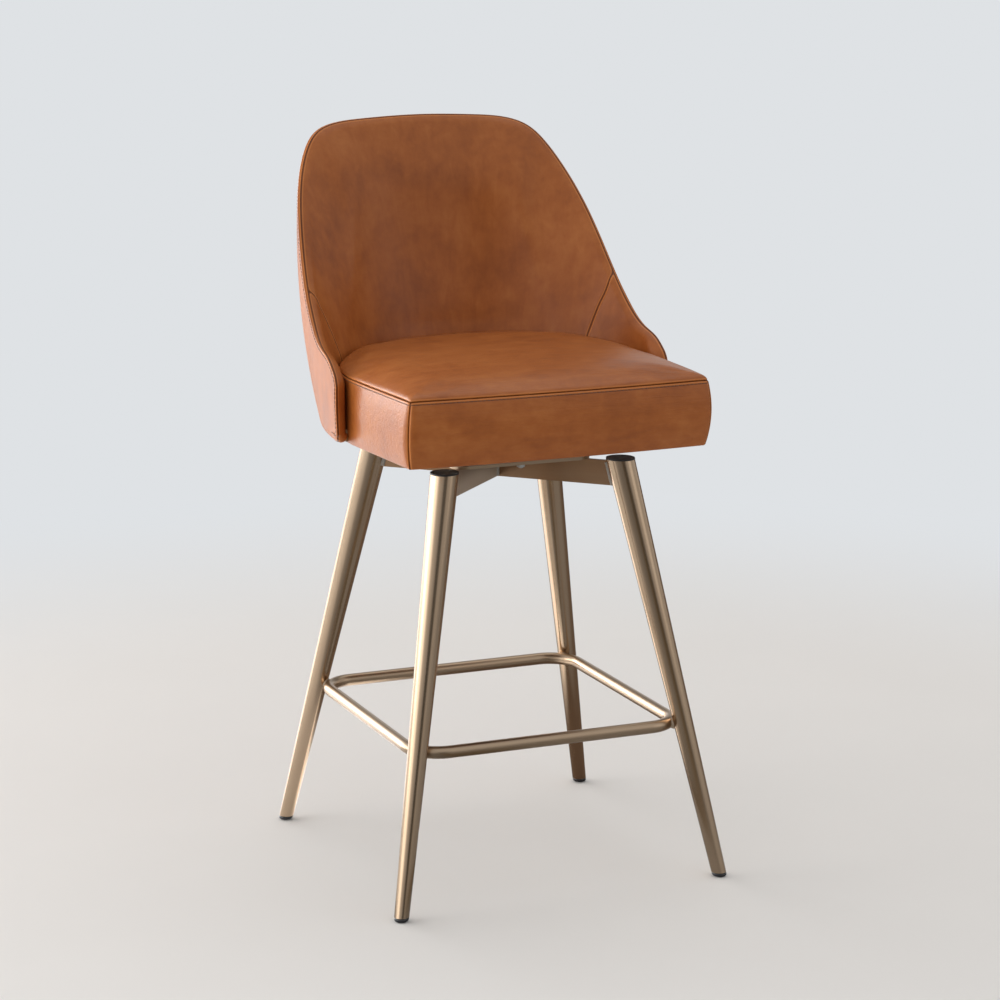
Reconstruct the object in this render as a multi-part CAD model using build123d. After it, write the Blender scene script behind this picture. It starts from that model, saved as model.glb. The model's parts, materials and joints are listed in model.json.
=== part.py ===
from build123d import *
import math
import os

# A counter stool: four splayed tapered legs with a footrest ring and a cross brace carry a ball-bearing
# swivel, and on the swivel turns a boxed cushion held inside a padded wrap-around back.
# Millimetres. +Z is up, the front faces -Y, and the origin lies on the floor under the swivel's axis.

# Legs
leg_top_height = 540.0
leg_spread_floor = 440.0
leg_spread_top = 240.6
leg_diameter_top = 36.0
leg_diameter_foot = 19.0
leg_wall = 1.8
cap_thickness = 1.8
cap_plug_length = 9.0
glide_height = 12.0
glide_overhang = 0.4
glide_edge_radius = 3.5
glide_plug_length = 14.0
plug_clearance = 0.2

# Footrest ring, one bent tube that touches the inner side of every leg
ring_height = 197.6
ring_tube_diameter = 16.0
ring_tube_wall = 1.5
ring_bend_radius = 42.0
ring_leg_gap = 0.3
ring_weld_radius = 7.5

# Cross brace of flat bars on edge, and the plate welded to its top
brace_height = 32.0
brace_thickness = 5.0
brace_below_leg_top = 5.0
brace_leg_gap = 0.1
lap_clearance = 0.1
leg_weld_radius = 3.6
weld_radius = 2.6
weld_end_setback = 1.0
mount_plate_size = 190.0
mount_plate_thickness = 4.0
mount_plate_corner = 18.0
plate_weld_start = 80.0
plate_weld_length = 26.0

# Ball-bearing swivel of two pressed plates
swivel_plate_size = 178.0
swivel_plate_corner = 14.0
swivel_plate_thickness = 2.5
swivel_plate_spacing = 10.0
dish_rise = 2.0
dish_radius = 58.0
dish_slope = 3.0
dish_overlap = 0.01
ball_diameter = 8.0
ball_circle_radius = 45.0
ball_count = 12
race_clearance = 0.3
cage_thickness = 1.2
cage_width = 18.0
rivet_radius = 8.0
rivet_flange_radius = 13.0
rivet_flange_thickness = 1.5
rivet_clearance = 0.3
rivet_bore = 4.5

# Fasteners
bolt_diameter = 6.0
bolt_hole_clearance = 0.3
bolt_head_diameter = 12.0
bolt_head_height = 3.0
bolt_head_rounding = 1.8
lower_bolt_circle_radius = 80.0
upper_bolt_pitch = 156.0
nut_across_flats = 10.0
nut_height = 5.0
thread_end = 1.5
t_nut_flange_diameter = 19.0
t_nut_flange_thickness = 1.2
t_nut_barrel_diameter = 8.0
t_nut_barrel_length = 10.0
fit_clearance = 0.15

# Seat
spacer_size = 196.0
spacer_corner = 20.0
spacer_thickness = 12.0
dust_cover_thickness = 0.8
dust_cover_margin = 12.0
seat_board_thickness = 15.0
cushion_front = 203.0
cushion_front_bow = 7.0
cushion_front_taper = 22.0
cushion_widest = -30.0
cushion_rear_squareness = 2.0
cushion_corner_radius = 15.0
cushion_seam_height = 81.0
cushion_crown = 20.0
crown_power = 2.6
crown_sizes = (1.0, 0.985, 0.95, 0.88, 0.76, 0.58, 0.3)
leather_thickness = 2.0
soft_clearance = 0.3

# Wrap-around back: outer face, from the bottom to the top of the shell
back_height = 380.0
back_width_bottom = 460.0
back_width_top = 380.0
back_width_belly = 26.0
back_rear_bottom = 210.0
back_rear_top = 275.0
back_rear_belly = 12.0
back_widest_bottom = -110.0
back_widest_top = 40.0
back_squareness_bottom = 2.8
back_squareness_top = 5.4
back_bottom_radius = 7.0
outer_sections = (-0.04, 0.15, 0.35, 0.55, 0.78, 1.05)

# Walls between the outer and the inner face of the back, and the inner face's form
wing_wall = 19.0
rear_wall_bottom = 13.0
wall_top = 33.0
inner_rear_belly = 6.0
inner_widest_top = 20.0
inner_squareness_top = 3.6
inner_lean_above_seam = 8.0
inner_sections = (0.0, 0.25, 0.5, 0.75, 1.06)

# Rim of the back: share of the back's height by direction round the swivel's axis, from the wing tip
# at the right side (0 degrees) to the middle of the rear (90 degrees)
wing_tip = -30.0
rim_line = (
    (-14, 0.1579), (-7, 0.2184), (0, 0.2711), (8, 0.2974), (14, 0.3289), (20, 0.3816), (26, 0.45),
    (38.8, 0.6526), (49.5, 0.8237), (54, 0.8921), (58, 0.9421), (63, 0.9737), (73, 0.9921), (90, 1.0),
)
rim_start_slope = 3.5
rim_roundness = 0.85
rim_round_power = 2.3
rim_shares = (-0.6, -0.3, 0.0, 0.25, 0.5, 0.75, 1.0, 1.5, 2.2, 3.0, 4.0, 5.0)
rim_inner_radius = 16.0
rim_tolerance = 0.05

# Layers of the back
cover_thickness = 5.0
plywood_thickness = 9.0
plywood_rim_setback = 12.0
plywood_bottom_setback = 3.0
wing_seam = 102.0
wing_seam_top = 111.0
wing_seam_top_share = 0.446
wing_seam_bend_share = 0.3737
wing_seam_bend_way = (-0.18, 1)
wing_seam_top_way = (1, 0.6)
wing_seam_run = 40.0

# Screws through the plywood into the edge of the seat board
shell_screw_diameter = 4.0
shell_screw_length = 38.0
shell_screw_head_diameter = 8.0
screw_sink = 1.8
shell_screw_angles = (30, 50, 74, 106, 130, 150)

# Cutting forms stick out past what they cut by these lengths
cut_margin = 1.0
long_margin = 20.0
far = 600.0

# Sizes and heights that follow
cushion_width = back_width_bottom - 2 * wing_wall
cushion_front_width = cushion_width - cushion_front_taper
cushion_rear = back_rear_bottom - rear_wall_bottom
inner_width_top = back_width_top - 2 * wall_top
inner_rear_top = back_rear_top - wall_top
inner_lean_start = cushion_seam_height + inner_lean_above_seam
brace_top = leg_top_height - brace_below_leg_top
brace_bottom = brace_top - brace_height
mount_plate_top = brace_top + mount_plate_thickness
lower_plate_top = mount_plate_top + swivel_plate_thickness
upper_plate_bottom = lower_plate_top + swivel_plate_spacing
swivel_top = upper_plate_bottom + swivel_plate_thickness
ball_height = (lower_plate_top + upper_plate_bottom) / 2
seat_bottom = swivel_top + spacer_thickness
board_bottom = seat_bottom + dust_cover_thickness
board_top = board_bottom + seat_board_thickness
cushion_seam = seat_bottom + cushion_seam_height
cushion_top = cushion_seam + cushion_crown
ball_radius = ball_diameter / 2
plywood_offset = cover_thickness + soft_clearance
pad_offset = plywood_offset + plywood_thickness + soft_clearance

ON_BASE = (Align.CENTER, Align.CENTER, Align.MIN)
CORNERS = {
    "front_left": (-1, -1),
    "front_right": (1, -1),
    "rear_left": (-1, 1),
    "rear_right": (1, 1),
}


def save(name, *solids):
    """Write one node, which may hold several separate solids."""
    shape = solids[0] if len(solids) == 1 else Compound(children=list(solids))
    shape.label = name
    export_step(shape, os.path.join("parts", name + ".step"))


def slab(low, high):
    """Everything between two heights."""
    return Pos(0, 0, low) * Box(2 * far, 2 * far, high - low, align=ON_BASE)


def rod(start, end, radius):
    """A round bar between two points."""
    line = Vector(*end) - Vector(*start)
    base = Plane(origin=start, z_dir=line)
    return base * Cylinder(radius, line.length, align=ON_BASE)


def plate(size, corner, bottom, thickness):
    """A square plate with rounded corners, centred on the swivel's axis."""
    return Pos(0, 0, bottom) * extrude(RectangleRounded(size, size, corner), thickness)


def ring_of_holes(radius, count, hole_radius, low, high):
    """Upright cylinders on a circle, used to cut holes."""
    holes = [
        Rot(0, 0, 360 * i / count) * Pos(radius, 0, low) * Cylinder(
            hole_radius, high - low, align=ON_BASE
        )
        for i in range(count)
    ]
    return Part() + holes


# ---------------------------------------------------------------- legs

def turn_to(corner):
    """The turn round the swivel's axis from the rear right corner to another one."""
    sx, sy = CORNERS[corner]
    return Rot(0, 0, math.degrees(math.atan2(sy, sx) - math.atan2(1, 1)))


def leg_half_spacing(height):
    """Distance of a leg's axis from the X and Y planes at a height."""
    share = height / leg_top_height
    return (leg_spread_floor * (1 - share) + leg_spread_top * share) / 2


def leg_radius(height):
    """Outer radius of the leg's tube at a height."""
    share = (height - glide_height) / (leg_top_height - glide_height)
    return (leg_diameter_foot * (1 - share) + leg_diameter_top * share) / 2


def leg_cone(corner, offset=0.0):
    """The leg's tapered outer form, longer than the leg, grown by an offset.

    It is made at the rear right corner and turned to the others, so that all four legs are alike.
    """
    low, high = -far / 10, leg_top_height + far / 10
    start = Vector(leg_half_spacing(low), leg_half_spacing(low), low)
    end = Vector(leg_half_spacing(high), leg_half_spacing(high), high)
    axis = end - start
    cone = Cone(
        leg_radius(low) + offset,
        leg_radius(high) + offset,
        axis.length,
        align=ON_BASE,
    )
    return turn_to(corner) * (Plane(origin=start, x_dir=(1, -1, 0), z_dir=axis) * cone)


def make_leg(corner):
    """A tapered tube, cut level at both ends."""
    tube = leg_cone(corner) - leg_cone(corner, -leg_wall)
    return tube & slab(glide_height, leg_top_height - cap_thickness)


def make_leg_cap(corner):
    """A thin disc on the cut top of the leg, with a plug down inside the tube."""
    seat = leg_top_height - cap_thickness
    disc = leg_cone(corner) & slab(seat, leg_top_height)
    plug = leg_cone(corner, -leg_wall - plug_clearance) & slab(seat - cap_plug_length, seat)
    return disc + plug


def make_glide(corner):
    """A round-edged foot that closes the lower end of the leg, with a plug up inside the tube."""
    foot = leg_cone(corner, glide_overhang) & slab(0, glide_height)
    foot = fillet(foot.edges().group_by(Axis.Z)[0], glide_edge_radius)
    plug = leg_cone(corner, -leg_wall - plug_clearance) & slab(glide_height, glide_height + glide_plug_length)
    return foot + plug


# ---------------------------------------------------------------- footrest ring

def leg_inner_diagonal(height, gap=0.0):
    """Distance along the level diagonal from the swivel's axis to the inner side of a leg grown by a gap."""
    tilt = math.atan(math.sqrt(2) * (leg_spread_floor - leg_spread_top) / 2 / leg_top_height)
    return math.sqrt(2) * leg_half_spacing(height) - (leg_radius(height) + gap) / math.cos(tilt)


def ring_half_size():
    """Half the ring's width on its centreline, so that its bends meet the legs."""
    centre = leg_inner_diagonal(ring_height, ring_leg_gap + ring_tube_diameter / 2)
    return (centre - ring_bend_radius) / math.sqrt(2) + ring_bend_radius


def ring_solid(radius):
    """The ring's path swept with a disc."""
    size = 2 * ring_half_size()
    path = RectangleRounded(size, size, ring_bend_radius).wire()
    path = path.moved(Location((0, 0, ring_height)))
    start = Plane(origin=path @ 0, z_dir=path % 0)
    return sweep(start * Circle(radius), path=path)


def make_footrest_ring():
    """One bent round tube, closed on itself."""
    outer = ring_tube_diameter / 2
    return ring_solid(outer) - ring_solid(outer - ring_tube_wall)


def make_footrest_welds():
    """A bead around the point where each bend meets its leg."""
    solid_ring = ring_solid(ring_tube_diameter / 2)
    reach = leg_inner_diagonal(ring_height, ring_leg_gap / 2) / math.sqrt(2)
    beads = []
    for corner, (sx, sy) in CORNERS.items():
        bead = Pos(sx * reach, sy * reach, ring_height) * Sphere(ring_weld_radius)
        bead = bead - leg_cone(corner) - solid_ring
        beads.extend(bead.solids())
    return beads


# ---------------------------------------------------------------- brace

def brace_bar(angle):
    """A flat bar on edge along one diagonal, coped to the two legs that it joins."""
    length = 2 * math.sqrt(2) * leg_half_spacing(brace_bottom)
    bar = Box(length, brace_thickness, brace_height, align=ON_BASE)
    bar = Rot(0, 0, angle) * (Pos(0, 0, brace_bottom) * bar)
    for corner in CORNERS:
        bar = bar - leg_cone(corner, brace_leg_gap)
    return bar.solids().sort_by_distance((0, 0, brace_bottom))[0]


def lap_slot(angle, low, high):
    """The slot that one bar cuts in the other where they cross."""
    width = brace_thickness + 2 * lap_clearance
    slot = Box(4 * brace_thickness, width, high - low, align=ON_BASE)
    return Rot(0, 0, angle) * (Pos(0, 0, low) * slot)


def make_brace_bars():
    """Two bars that cross at the centre, each slotted to half its height."""
    middle = (brace_bottom + brace_top) / 2
    lower = brace_bar(45) - lap_slot(-45, middle - lap_clearance, brace_top + cut_margin)
    upper = brace_bar(-45) - lap_slot(45, brace_bottom - cut_margin, middle + lap_clearance)
    return lower, upper


def make_brace_centre_welds(bars):
    """An upright bead in each of the four inside corners of the crossing."""
    reach = brace_thickness / math.sqrt(2)
    low, high = brace_bottom + weld_end_setback, brace_top - weld_end_setback
    beads = []
    for i in range(4):
        bead = rod((reach, 0, low), (reach, 0, high), weld_radius)
        bead = Rot(0, 0, 90 * i) * bead
        for bar in bars:
            bead = bead - bar
        beads.append(bead.solids().sort_by(SortBy.VOLUME)[-1])
    return beads


def make_brace_leg_welds(bars):
    """A bead down both sides of each bar where it meets a leg."""
    low, high = brace_bottom + 2 * weld_end_setback, brace_top - 2 * weld_end_setback
    side = brace_thickness / 2
    beads = []
    for corner, (sx, sy) in CORNERS.items():
        along = Vector(sx, sy, 0).normalized()
        across = Vector(-along.Y, along.X, 0)
        for way in (-1, 1):
            start = along * leg_inner_diagonal(low) + across * (way * side)
            end = along * leg_inner_diagonal(high) + across * (way * side)
            bead = rod((start.X, start.Y, low), (end.X, end.Y, high), leg_weld_radius)
            bead = bead - leg_cone(corner)
            for bar in bars:
                bead = bead - bar
            beads.append(bead.solids().sort_by(SortBy.VOLUME)[-1])
    return beads


def make_mount_plate():
    """A square plate on the brace, with holes midway along its sides for the swivel's bolts."""
    base = plate(mount_plate_size, mount_plate_corner, brace_top, mount_plate_thickness)
    hole = bolt_diameter / 2 + bolt_hole_clearance
    low, high = brace_top - cut_margin, mount_plate_top + cut_margin
    return base - ring_of_holes(lower_bolt_circle_radius, 4, hole, low, high)


def make_plate_welds(bars):
    """Short beads between the bars' sides and the underside of the plate."""
    start, end = plate_weld_start, plate_weld_start + plate_weld_length
    beads = []
    for i in range(4):
        for way in (-1, 1):
            y = way * brace_thickness / 2
            bead = rod((start, y, brace_top), (end, y, brace_top), weld_radius)
            bead = Rot(0, 0, 45 + 90 * i) * (bead & slab(brace_top - 2 * weld_radius, brace_top))
            for bar in bars:
                bead = bead - bar
            beads.append(bead.solids().sort_by(SortBy.VOLUME)[-1])
    return beads


# ---------------------------------------------------------------- swivel

def pressed_plate():
    """The swivel's plate pressing below the balls, with its dish and its race.

    Heights are counted from the balls' centres, so the upper plate is the same pressing turned over.
    """
    top = -swivel_plate_spacing / 2
    sheet = swivel_plate_thickness
    race = ball_radius + race_clearance
    dish_top = top + dish_rise
    flange = RectangleRounded(swivel_plate_size, swivel_plate_size, swivel_plate_corner)
    flange = Pos(0, 0, top - sheet) * extrude(flange, sheet)
    flange = flange - Cylinder(dish_radius - dish_overlap, 4 * swivel_plate_spacing)
    mouth = math.sqrt(race**2 - dish_top**2)
    under = math.sqrt((race + sheet) ** 2 - (dish_top - sheet) ** 2)
    rim = dish_radius
    with BuildSketch(Plane.XZ) as section:
        with BuildLine():
            Polyline((0, dish_top), (ball_circle_radius - mouth, dish_top))
            ThreePointArc(
                (ball_circle_radius - mouth, dish_top),
                (ball_circle_radius, -race),
                (ball_circle_radius + mouth, dish_top),
            )
            Polyline(
                (ball_circle_radius + mouth, dish_top),
                (rim - dish_slope, dish_top),
                (rim, top),
                (rim, top - sheet),
                (rim - dish_slope, dish_top - sheet),
                (ball_circle_radius + under, dish_top - sheet),
            )
            ThreePointArc(
                (ball_circle_radius + under, dish_top - sheet),
                (ball_circle_radius, -race - sheet),
                (ball_circle_radius - under, dish_top - sheet),
            )
            Polyline((ball_circle_radius - under, dish_top - sheet), (0, dish_top - sheet), (0, dish_top))
        make_face()
    dish = revolve(section.sketch, Axis.Z)
    return flange + dish


def make_lower_plate():
    """The fixed plate, bolted to the mount plate and held to the rivet."""
    hole = bolt_diameter / 2 + bolt_hole_clearance
    base = Pos(0, 0, ball_height) * pressed_plate()
    low, high = mount_plate_top - cut_margin, lower_plate_top + cut_margin
    return base - ring_of_holes(lower_bolt_circle_radius, 4, hole, low, high) - rivet_shaft(fit_clearance)


def upper_bolt_points():
    """Places of the four bolts near the corners of the upper plate."""
    half = upper_bolt_pitch / 2
    return [(sx * half, sy * half) for sx, sy in CORNERS.values()]


def upper_bolt_holes(bottom, top):
    """Upright cylinders at the upper bolts, to cut holes from one height to another."""
    radius = bolt_diameter / 2 + bolt_hole_clearance
    low, high = bottom - cut_margin, top + cut_margin
    return Part() + [rod((x, y, low), (x, y, high), radius) for x, y in upper_bolt_points()]


def make_upper_plate():
    """The same pressing turned over, free to turn on the rivet and bolted to the seat."""
    top = Pos(0, 0, ball_height) * (Rot(180, 0, 0) * pressed_plate())
    top = top - upper_bolt_holes(upper_plate_bottom, swivel_top)
    return top - rivet_shaft(rivet_clearance)


def rivet_shaft(offset=0.0):
    """The rivet's shaft, grown by an offset."""
    return Pos(0, 0, ball_height) * Cylinder(rivet_radius + offset, 2 * swivel_plate_spacing)


def make_rivet():
    """A hollow rivet: one flange under the lower plate and one over the upper plate."""
    reach = swivel_plate_spacing / 2 - dish_rise + swivel_plate_thickness
    low = ball_height - reach
    high = ball_height + reach + rivet_clearance
    shaft = rod((0, 0, low), (0, 0, high), rivet_radius)
    foot = rod((0, 0, low - rivet_flange_thickness), (0, 0, low), rivet_flange_radius)
    head = rod((0, 0, high), (0, 0, high + rivet_flange_thickness - rivet_clearance), rivet_flange_radius)
    bore = Pos(0, 0, ball_height) * Cylinder(rivet_bore, 4 * swivel_plate_spacing)
    return shaft + foot + head - bore


def make_ball_cage():
    """A flat ring with a hole for every ball."""
    ring = Cylinder(ball_circle_radius + cage_width / 2, cage_thickness)
    ring = ring - Cylinder(ball_circle_radius - cage_width / 2, 2 * cage_thickness)
    ring = Pos(0, 0, ball_height) * ring
    hole = ball_radius + race_clearance
    low, high = ball_height - ball_radius, ball_height + ball_radius
    return ring - ring_of_holes(ball_circle_radius, ball_count, hole, low, high)


def make_balls():
    """The bearing's balls."""
    return [
        Rot(0, 0, 360 * i / ball_count) * Pos(ball_circle_radius, 0, ball_height) * Sphere(ball_radius)
        for i in range(ball_count)
    ]


# ---------------------------------------------------------------- fasteners

def bolt(x, y, head_seat, way, length):
    """A round-headed bolt. Its head lies against a face and its shank points the given way, up or down."""
    shank = rod((x, y, head_seat), (x, y, head_seat + way * length), bolt_diameter / 2)
    head = rod((x, y, head_seat - way * bolt_head_height), (x, y, head_seat), bolt_head_diameter / 2)
    rim = head.edges().filter_by(GeomType.CIRCLE).sort_by(Axis.Z)[0 if way > 0 else -1]
    head = fillet(rim, bolt_head_rounding)
    return shank + head


def lower_bolt_points():
    """Places of the four bolts that hold the swivel to the mount plate."""
    r = lower_bolt_circle_radius
    return [(r, 0), (0, r), (-r, 0), (0, -r)]


def make_lower_bolts():
    """Bolts from above through the lower plate and the mount plate."""
    length = swivel_plate_thickness + mount_plate_thickness + nut_height + thread_end
    return [bolt(x, y, lower_plate_top, -1, length) for x, y in lower_bolt_points()]


def make_lower_nuts():
    """Hexagon nuts under the mount plate."""
    nuts = []
    for x, y in lower_bolt_points():
        hexagon = RegularPolygon(nut_across_flats / 2, 6, major_radius=False)
        hexagon = hexagon - Circle(bolt_diameter / 2 + fit_clearance)
        nuts.append(Pos(x, y, brace_top - nut_height) * extrude(hexagon, nut_height))
    return nuts


def make_upper_bolts():
    """Bolts from below through the upper plate and the spacer into the T-nuts."""
    length = board_top - thread_end - upper_plate_bottom
    return [bolt(x, y, upper_plate_bottom, 1, length) for x, y in upper_bolt_points()]


def make_t_nuts():
    """Flanged nuts let into the top of the seat board."""
    nuts = []
    low, high = board_top - t_nut_barrel_length, board_top + t_nut_flange_thickness
    for x, y in upper_bolt_points():
        flange = rod((x, y, board_top), (x, y, high), t_nut_flange_diameter / 2)
        barrel = rod((x, y, low), (x, y, board_top), t_nut_barrel_diameter / 2)
        bore = rod((x, y, low - cut_margin), (x, y, high + cut_margin), bolt_diameter / 2 + fit_clearance)
        nuts.append(flange + barrel - bore)
    return nuts


# ---------------------------------------------------------------- seat

def between(low, high, share):
    """The value at a share of the way from low to high."""
    return low + (high - low) * share


def round_half(width, front, rear, squareness, steps=24):
    """Points of half a superellipse, from the right side round the rear to the left side."""
    points = []
    for i in range(steps + 1):
        angle = math.pi * i / steps
        c, s = math.cos(angle), math.sin(angle)
        a, b = width / 2, rear - front
        radius = (abs(c / a) ** squareness + abs(s / b) ** squareness) ** (-1 / squareness)
        points.append((radius * c, front + radius * s))
    return points


def cushion_outline(inset):
    """The cushion seen from above, as a face at height zero."""
    half = cushion_width / 2 - inset
    front_half = cushion_front_width / 2 - inset
    front = -cushion_front + inset
    rear = round_half(2 * half, cushion_widest, cushion_rear - inset, cushion_rear_squareness)
    with BuildSketch() as sketch:
        with BuildLine():
            Spline(*rear, tangents=((0, 1), (0, -1)), tangent_scalars=(1, 1))
            Line((-half, cushion_widest), (-front_half, front))
            ThreePointArc((-front_half, front), (0, front - cushion_front_bow), (front_half, front))
            Line((front_half, front), (half, cushion_widest))
        make_face()
        corners = [v for v in sketch.vertices() if v.Y < front + cut_margin]
        fillet(corners, cushion_corner_radius - inset)
    return sketch.sketch


def cushion_block(inset, bottom):
    """The cushion's form down to a height: a box with a crowned top, shrunk by an inset all over."""
    outline = cushion_outline(inset)
    seam = cushion_seam - inset / 2
    box = extrude(Pos(0, 0, bottom) * outline, seam - bottom)
    crown = cushion_top - inset - seam
    sections = []
    for size in crown_sizes:
        rise = (1 - size**crown_power) ** (1 / crown_power)
        sections.append(Pos(0, 0, seam + rise * crown) * scale(outline, size))
    return box + loft(sections, ruled=True)


def behind(y, low, high):
    """Everything behind a plane across the stool, between two heights."""
    box = Box(2 * far, far, high - low, align=(Align.CENTER, Align.MIN, Align.MIN))
    return Pos(0, y, low) * box


def make_board_blank():
    """The seat board before its holes: inside the cushion's leather at the front, out to the shell behind."""
    outline = cushion_outline(leather_thickness + soft_clearance)
    front = extrude(Pos(0, 0, board_bottom) * outline, seat_board_thickness)
    rear = shell_inside(pad_offset) & behind(wing_tip + plywood_rim_setback, board_bottom, board_top)
    return front + rear


def make_seat_board(screws):
    """Plywood with holes for the T-nuts and the shell's screws."""
    board = make_board_blank() - upper_bolt_holes(board_bottom, board_top)
    low, high = board_top - t_nut_barrel_length - fit_clearance, board_top + cut_margin
    for x, y in upper_bolt_points():
        board = board - rod((x, y, low), (x, y, high), t_nut_barrel_diameter / 2 + fit_clearance)
    return board - screws


def make_foam():
    """The foam block on the seat board, cut out over the T-nuts."""
    foam = cushion_block(leather_thickness + soft_clearance, board_top + soft_clearance)
    radius = t_nut_flange_diameter / 2 + soft_clearance
    high = board_top + t_nut_flange_thickness + soft_clearance
    pockets = [rod((x, y, board_top), (x, y, high), radius) for x, y in upper_bolt_points()]
    return foam - (Part() + pockets)


def make_seat_cover():
    """The leather over the foam and down the edge of the board, open below."""
    skin = cushion_block(0, seat_bottom) - cushion_block(leather_thickness, seat_bottom - cut_margin)
    return skin - board_room()


def board_room():
    """The space that the seat board takes between the wings, with its clearance."""
    setback = plywood_rim_setback - soft_clearance
    return behind(wing_tip + setback, seat_bottom - cut_margin, board_top + soft_clearance)


def make_spacer():
    """A plywood square between the swivel and the seat."""
    base = plate(spacer_size, spacer_corner, swivel_top, spacer_thickness)
    return base - upper_bolt_holes(swivel_top, seat_bottom)


def make_dust_cover():
    """Thin cloth under the seat board."""
    sheet = extrude(Pos(0, 0, seat_bottom) * cushion_outline(dust_cover_margin), dust_cover_thickness)
    return sheet - upper_bolt_holes(seat_bottom, board_bottom)


# ---------------------------------------------------------------- back

def outer_size(height, offset):
    """Width, widest place, rear and squareness of the back's outer face, moved inward by an offset."""
    share = height / back_height
    belly = 4 * share * (1 - share)
    return (
        between(back_width_bottom, back_width_top, share) + back_width_belly * belly - 2 * offset,
        between(back_widest_bottom, back_widest_top, share),
        between(back_rear_bottom, back_rear_top, share) + back_rear_belly * belly - offset,
        between(back_squareness_bottom, back_squareness_top, share),
    )


def inner_size(height):
    """The same for the back's inner face: upright beside the cushion, then leaning to the top."""
    share = max(0.0, (height - inner_lean_start) / (back_height - inner_lean_start))
    belly = 4 * share * (1 - share)
    return (
        between(cushion_width + 2 * soft_clearance, inner_width_top, share),
        between(cushion_widest, inner_widest_top, share),
        between(cushion_rear + soft_clearance, inner_rear_top, share) + inner_rear_belly * belly,
        between(cushion_rear_squareness, inner_squareness_top, share),
    )


def section_face(size, height):
    """A level face: straight sides towards the front and half a superellipse at the rear."""
    width, widest, rear, squareness = size
    front = -far / 2
    with BuildSketch(Plane.XY.offset(seat_bottom + height)) as sketch:
        with BuildLine():
            points = round_half(width, widest, rear, squareness)
            Spline(*points, tangents=((0, 1), (0, -1)), tangent_scalars=(1, 1))
            Polyline((-width / 2, widest), (-width / 2, front), (width / 2, front), (width / 2, widest))
        make_face()
    return sketch.sketch


def shell_inside(offset):
    """Everything inside the back's outer face moved inward by an offset."""
    heights = [back_height * share for share in outer_sections]
    return loft([section_face(outer_size(height, offset), height) for height in heights])


def inner_space():
    """The hollow of the back."""
    low = section_face(inner_size(0), -long_margin)
    heights = [between(inner_lean_start, back_height, share) for share in inner_sections]
    upper = loft([section_face(inner_size(height), height) for height in heights])
    return extrude(low, inner_lean_start + long_margin) + upper


def reach(size, direction):
    """Distance from the swivel's axis to a section's edge in a direction given in degrees."""
    width, widest, rear, squareness = size
    c, s = abs(math.cos(math.radians(direction))), math.sin(math.radians(direction))
    low, high = 0.0, 2 * width
    for _ in range(40):
        middle = (low + high) / 2
        depth = max(0.0, middle * s - widest) / (rear - widest)
        inside = (2 * middle * c / width) ** squareness + depth**squareness < 1
        low, high = (middle, high) if inside else (low, middle)
    return low


def rim_places(steps=14):
    """Direction, height and slope along the rim, from the right wing tip round to the left one."""
    points = [(direction, share * back_height) for direction, share in rim_line]
    curve = Spline(*points, tangents=((1, rim_start_slope), (1, 0)), tangent_scalars=(1, 1))
    right = []
    for i in range(steps + 1):
        place, way = curve @ (i / steps), curve % (i / steps)
        along = math.radians(1) * reach(outer_size(place.Y, 0), place.X)
        right.append((place.X, place.Y, way.Y / way.X / along))
    left = [(180 - direction, height, -slope) for direction, height, slope in reversed(right[:-1])]
    return right + left


def rim_point(place, share, setback):
    """A point of the rim's top: share 0 lies on the outer face and share 1 on the inner face."""
    direction, height, slope = place
    outer = reach(outer_size(height, 0), direction)
    wall = outer - reach(inner_size(height), direction)
    drop = setback * math.hypot(1, slope) + wall * rim_roundness * max(0, min(share, 1)) ** rim_round_power
    radius = max(outer - wall * share, rim_inner_radius)
    angle = math.radians(direction)
    return Vector(radius * math.cos(angle), radius * math.sin(angle), seat_bottom + height - drop)


def above_rim(setback):
    """Everything above the rim, which rounds down towards the inside, set back from the edge."""
    rows = [[rim_point(place, share, setback) for share in rim_shares] for place in rim_places()]
    surface = Face.make_surface_from_array_of_points(rows, tol=rim_tolerance)
    return extrude(surface, far, dir=(0, 0, 1))


def trim(form, setback):
    """The left half of a form, cut to the back's rim and to the wing's upright front edge."""
    low, high = seat_bottom - long_margin, seat_bottom + back_height + long_margin
    left = Pos(-far / 2, 0, low) * Box(far, 2 * far, high - low, align=ON_BASE)
    return (form & left & behind(wing_tip + setback, low, high)) - above_rim(setback)


def both_sides(half):
    """A left half joined to its mirror image."""
    return half + mirror(half, about=Plane.YZ)


def back_form():
    """The whole padded back before its rim is cut, with a rounded lower edge."""
    form = shell_inside(0) & slab(seat_bottom, seat_bottom + back_height + cut_margin)
    lowest = form.faces().sort_by(Axis.Z)[0]
    rear_edge = lowest.edges().sort_by(Axis.Y)[-1]
    return fillet(rear_edge, back_bottom_radius)


def shell_screw_frames():
    """A place and a way in for each screw, on the plywood's outer face at the board's mid-height."""
    height = (board_bottom + board_top) / 2 - seat_bottom
    width, front, rear, n = outer_size(height, plywood_offset)
    a, b = width / 2, rear - front
    frames = []
    for angle in shell_screw_angles:
        c, s = math.cos(math.radians(angle)), math.sin(math.radians(angle))
        radius = (abs(c / a) ** n + abs(s / b) ** n) ** (-1 / n)
        x, y = radius * c, radius * s
        outward = Vector(math.copysign(abs(x / a) ** (n - 1) / a, x), abs(y / b) ** (n - 1) / b, 0)
        frames.append((Vector(x, front + y, seat_bottom + height), outward.normalized() * -1))
    return frames


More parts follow.
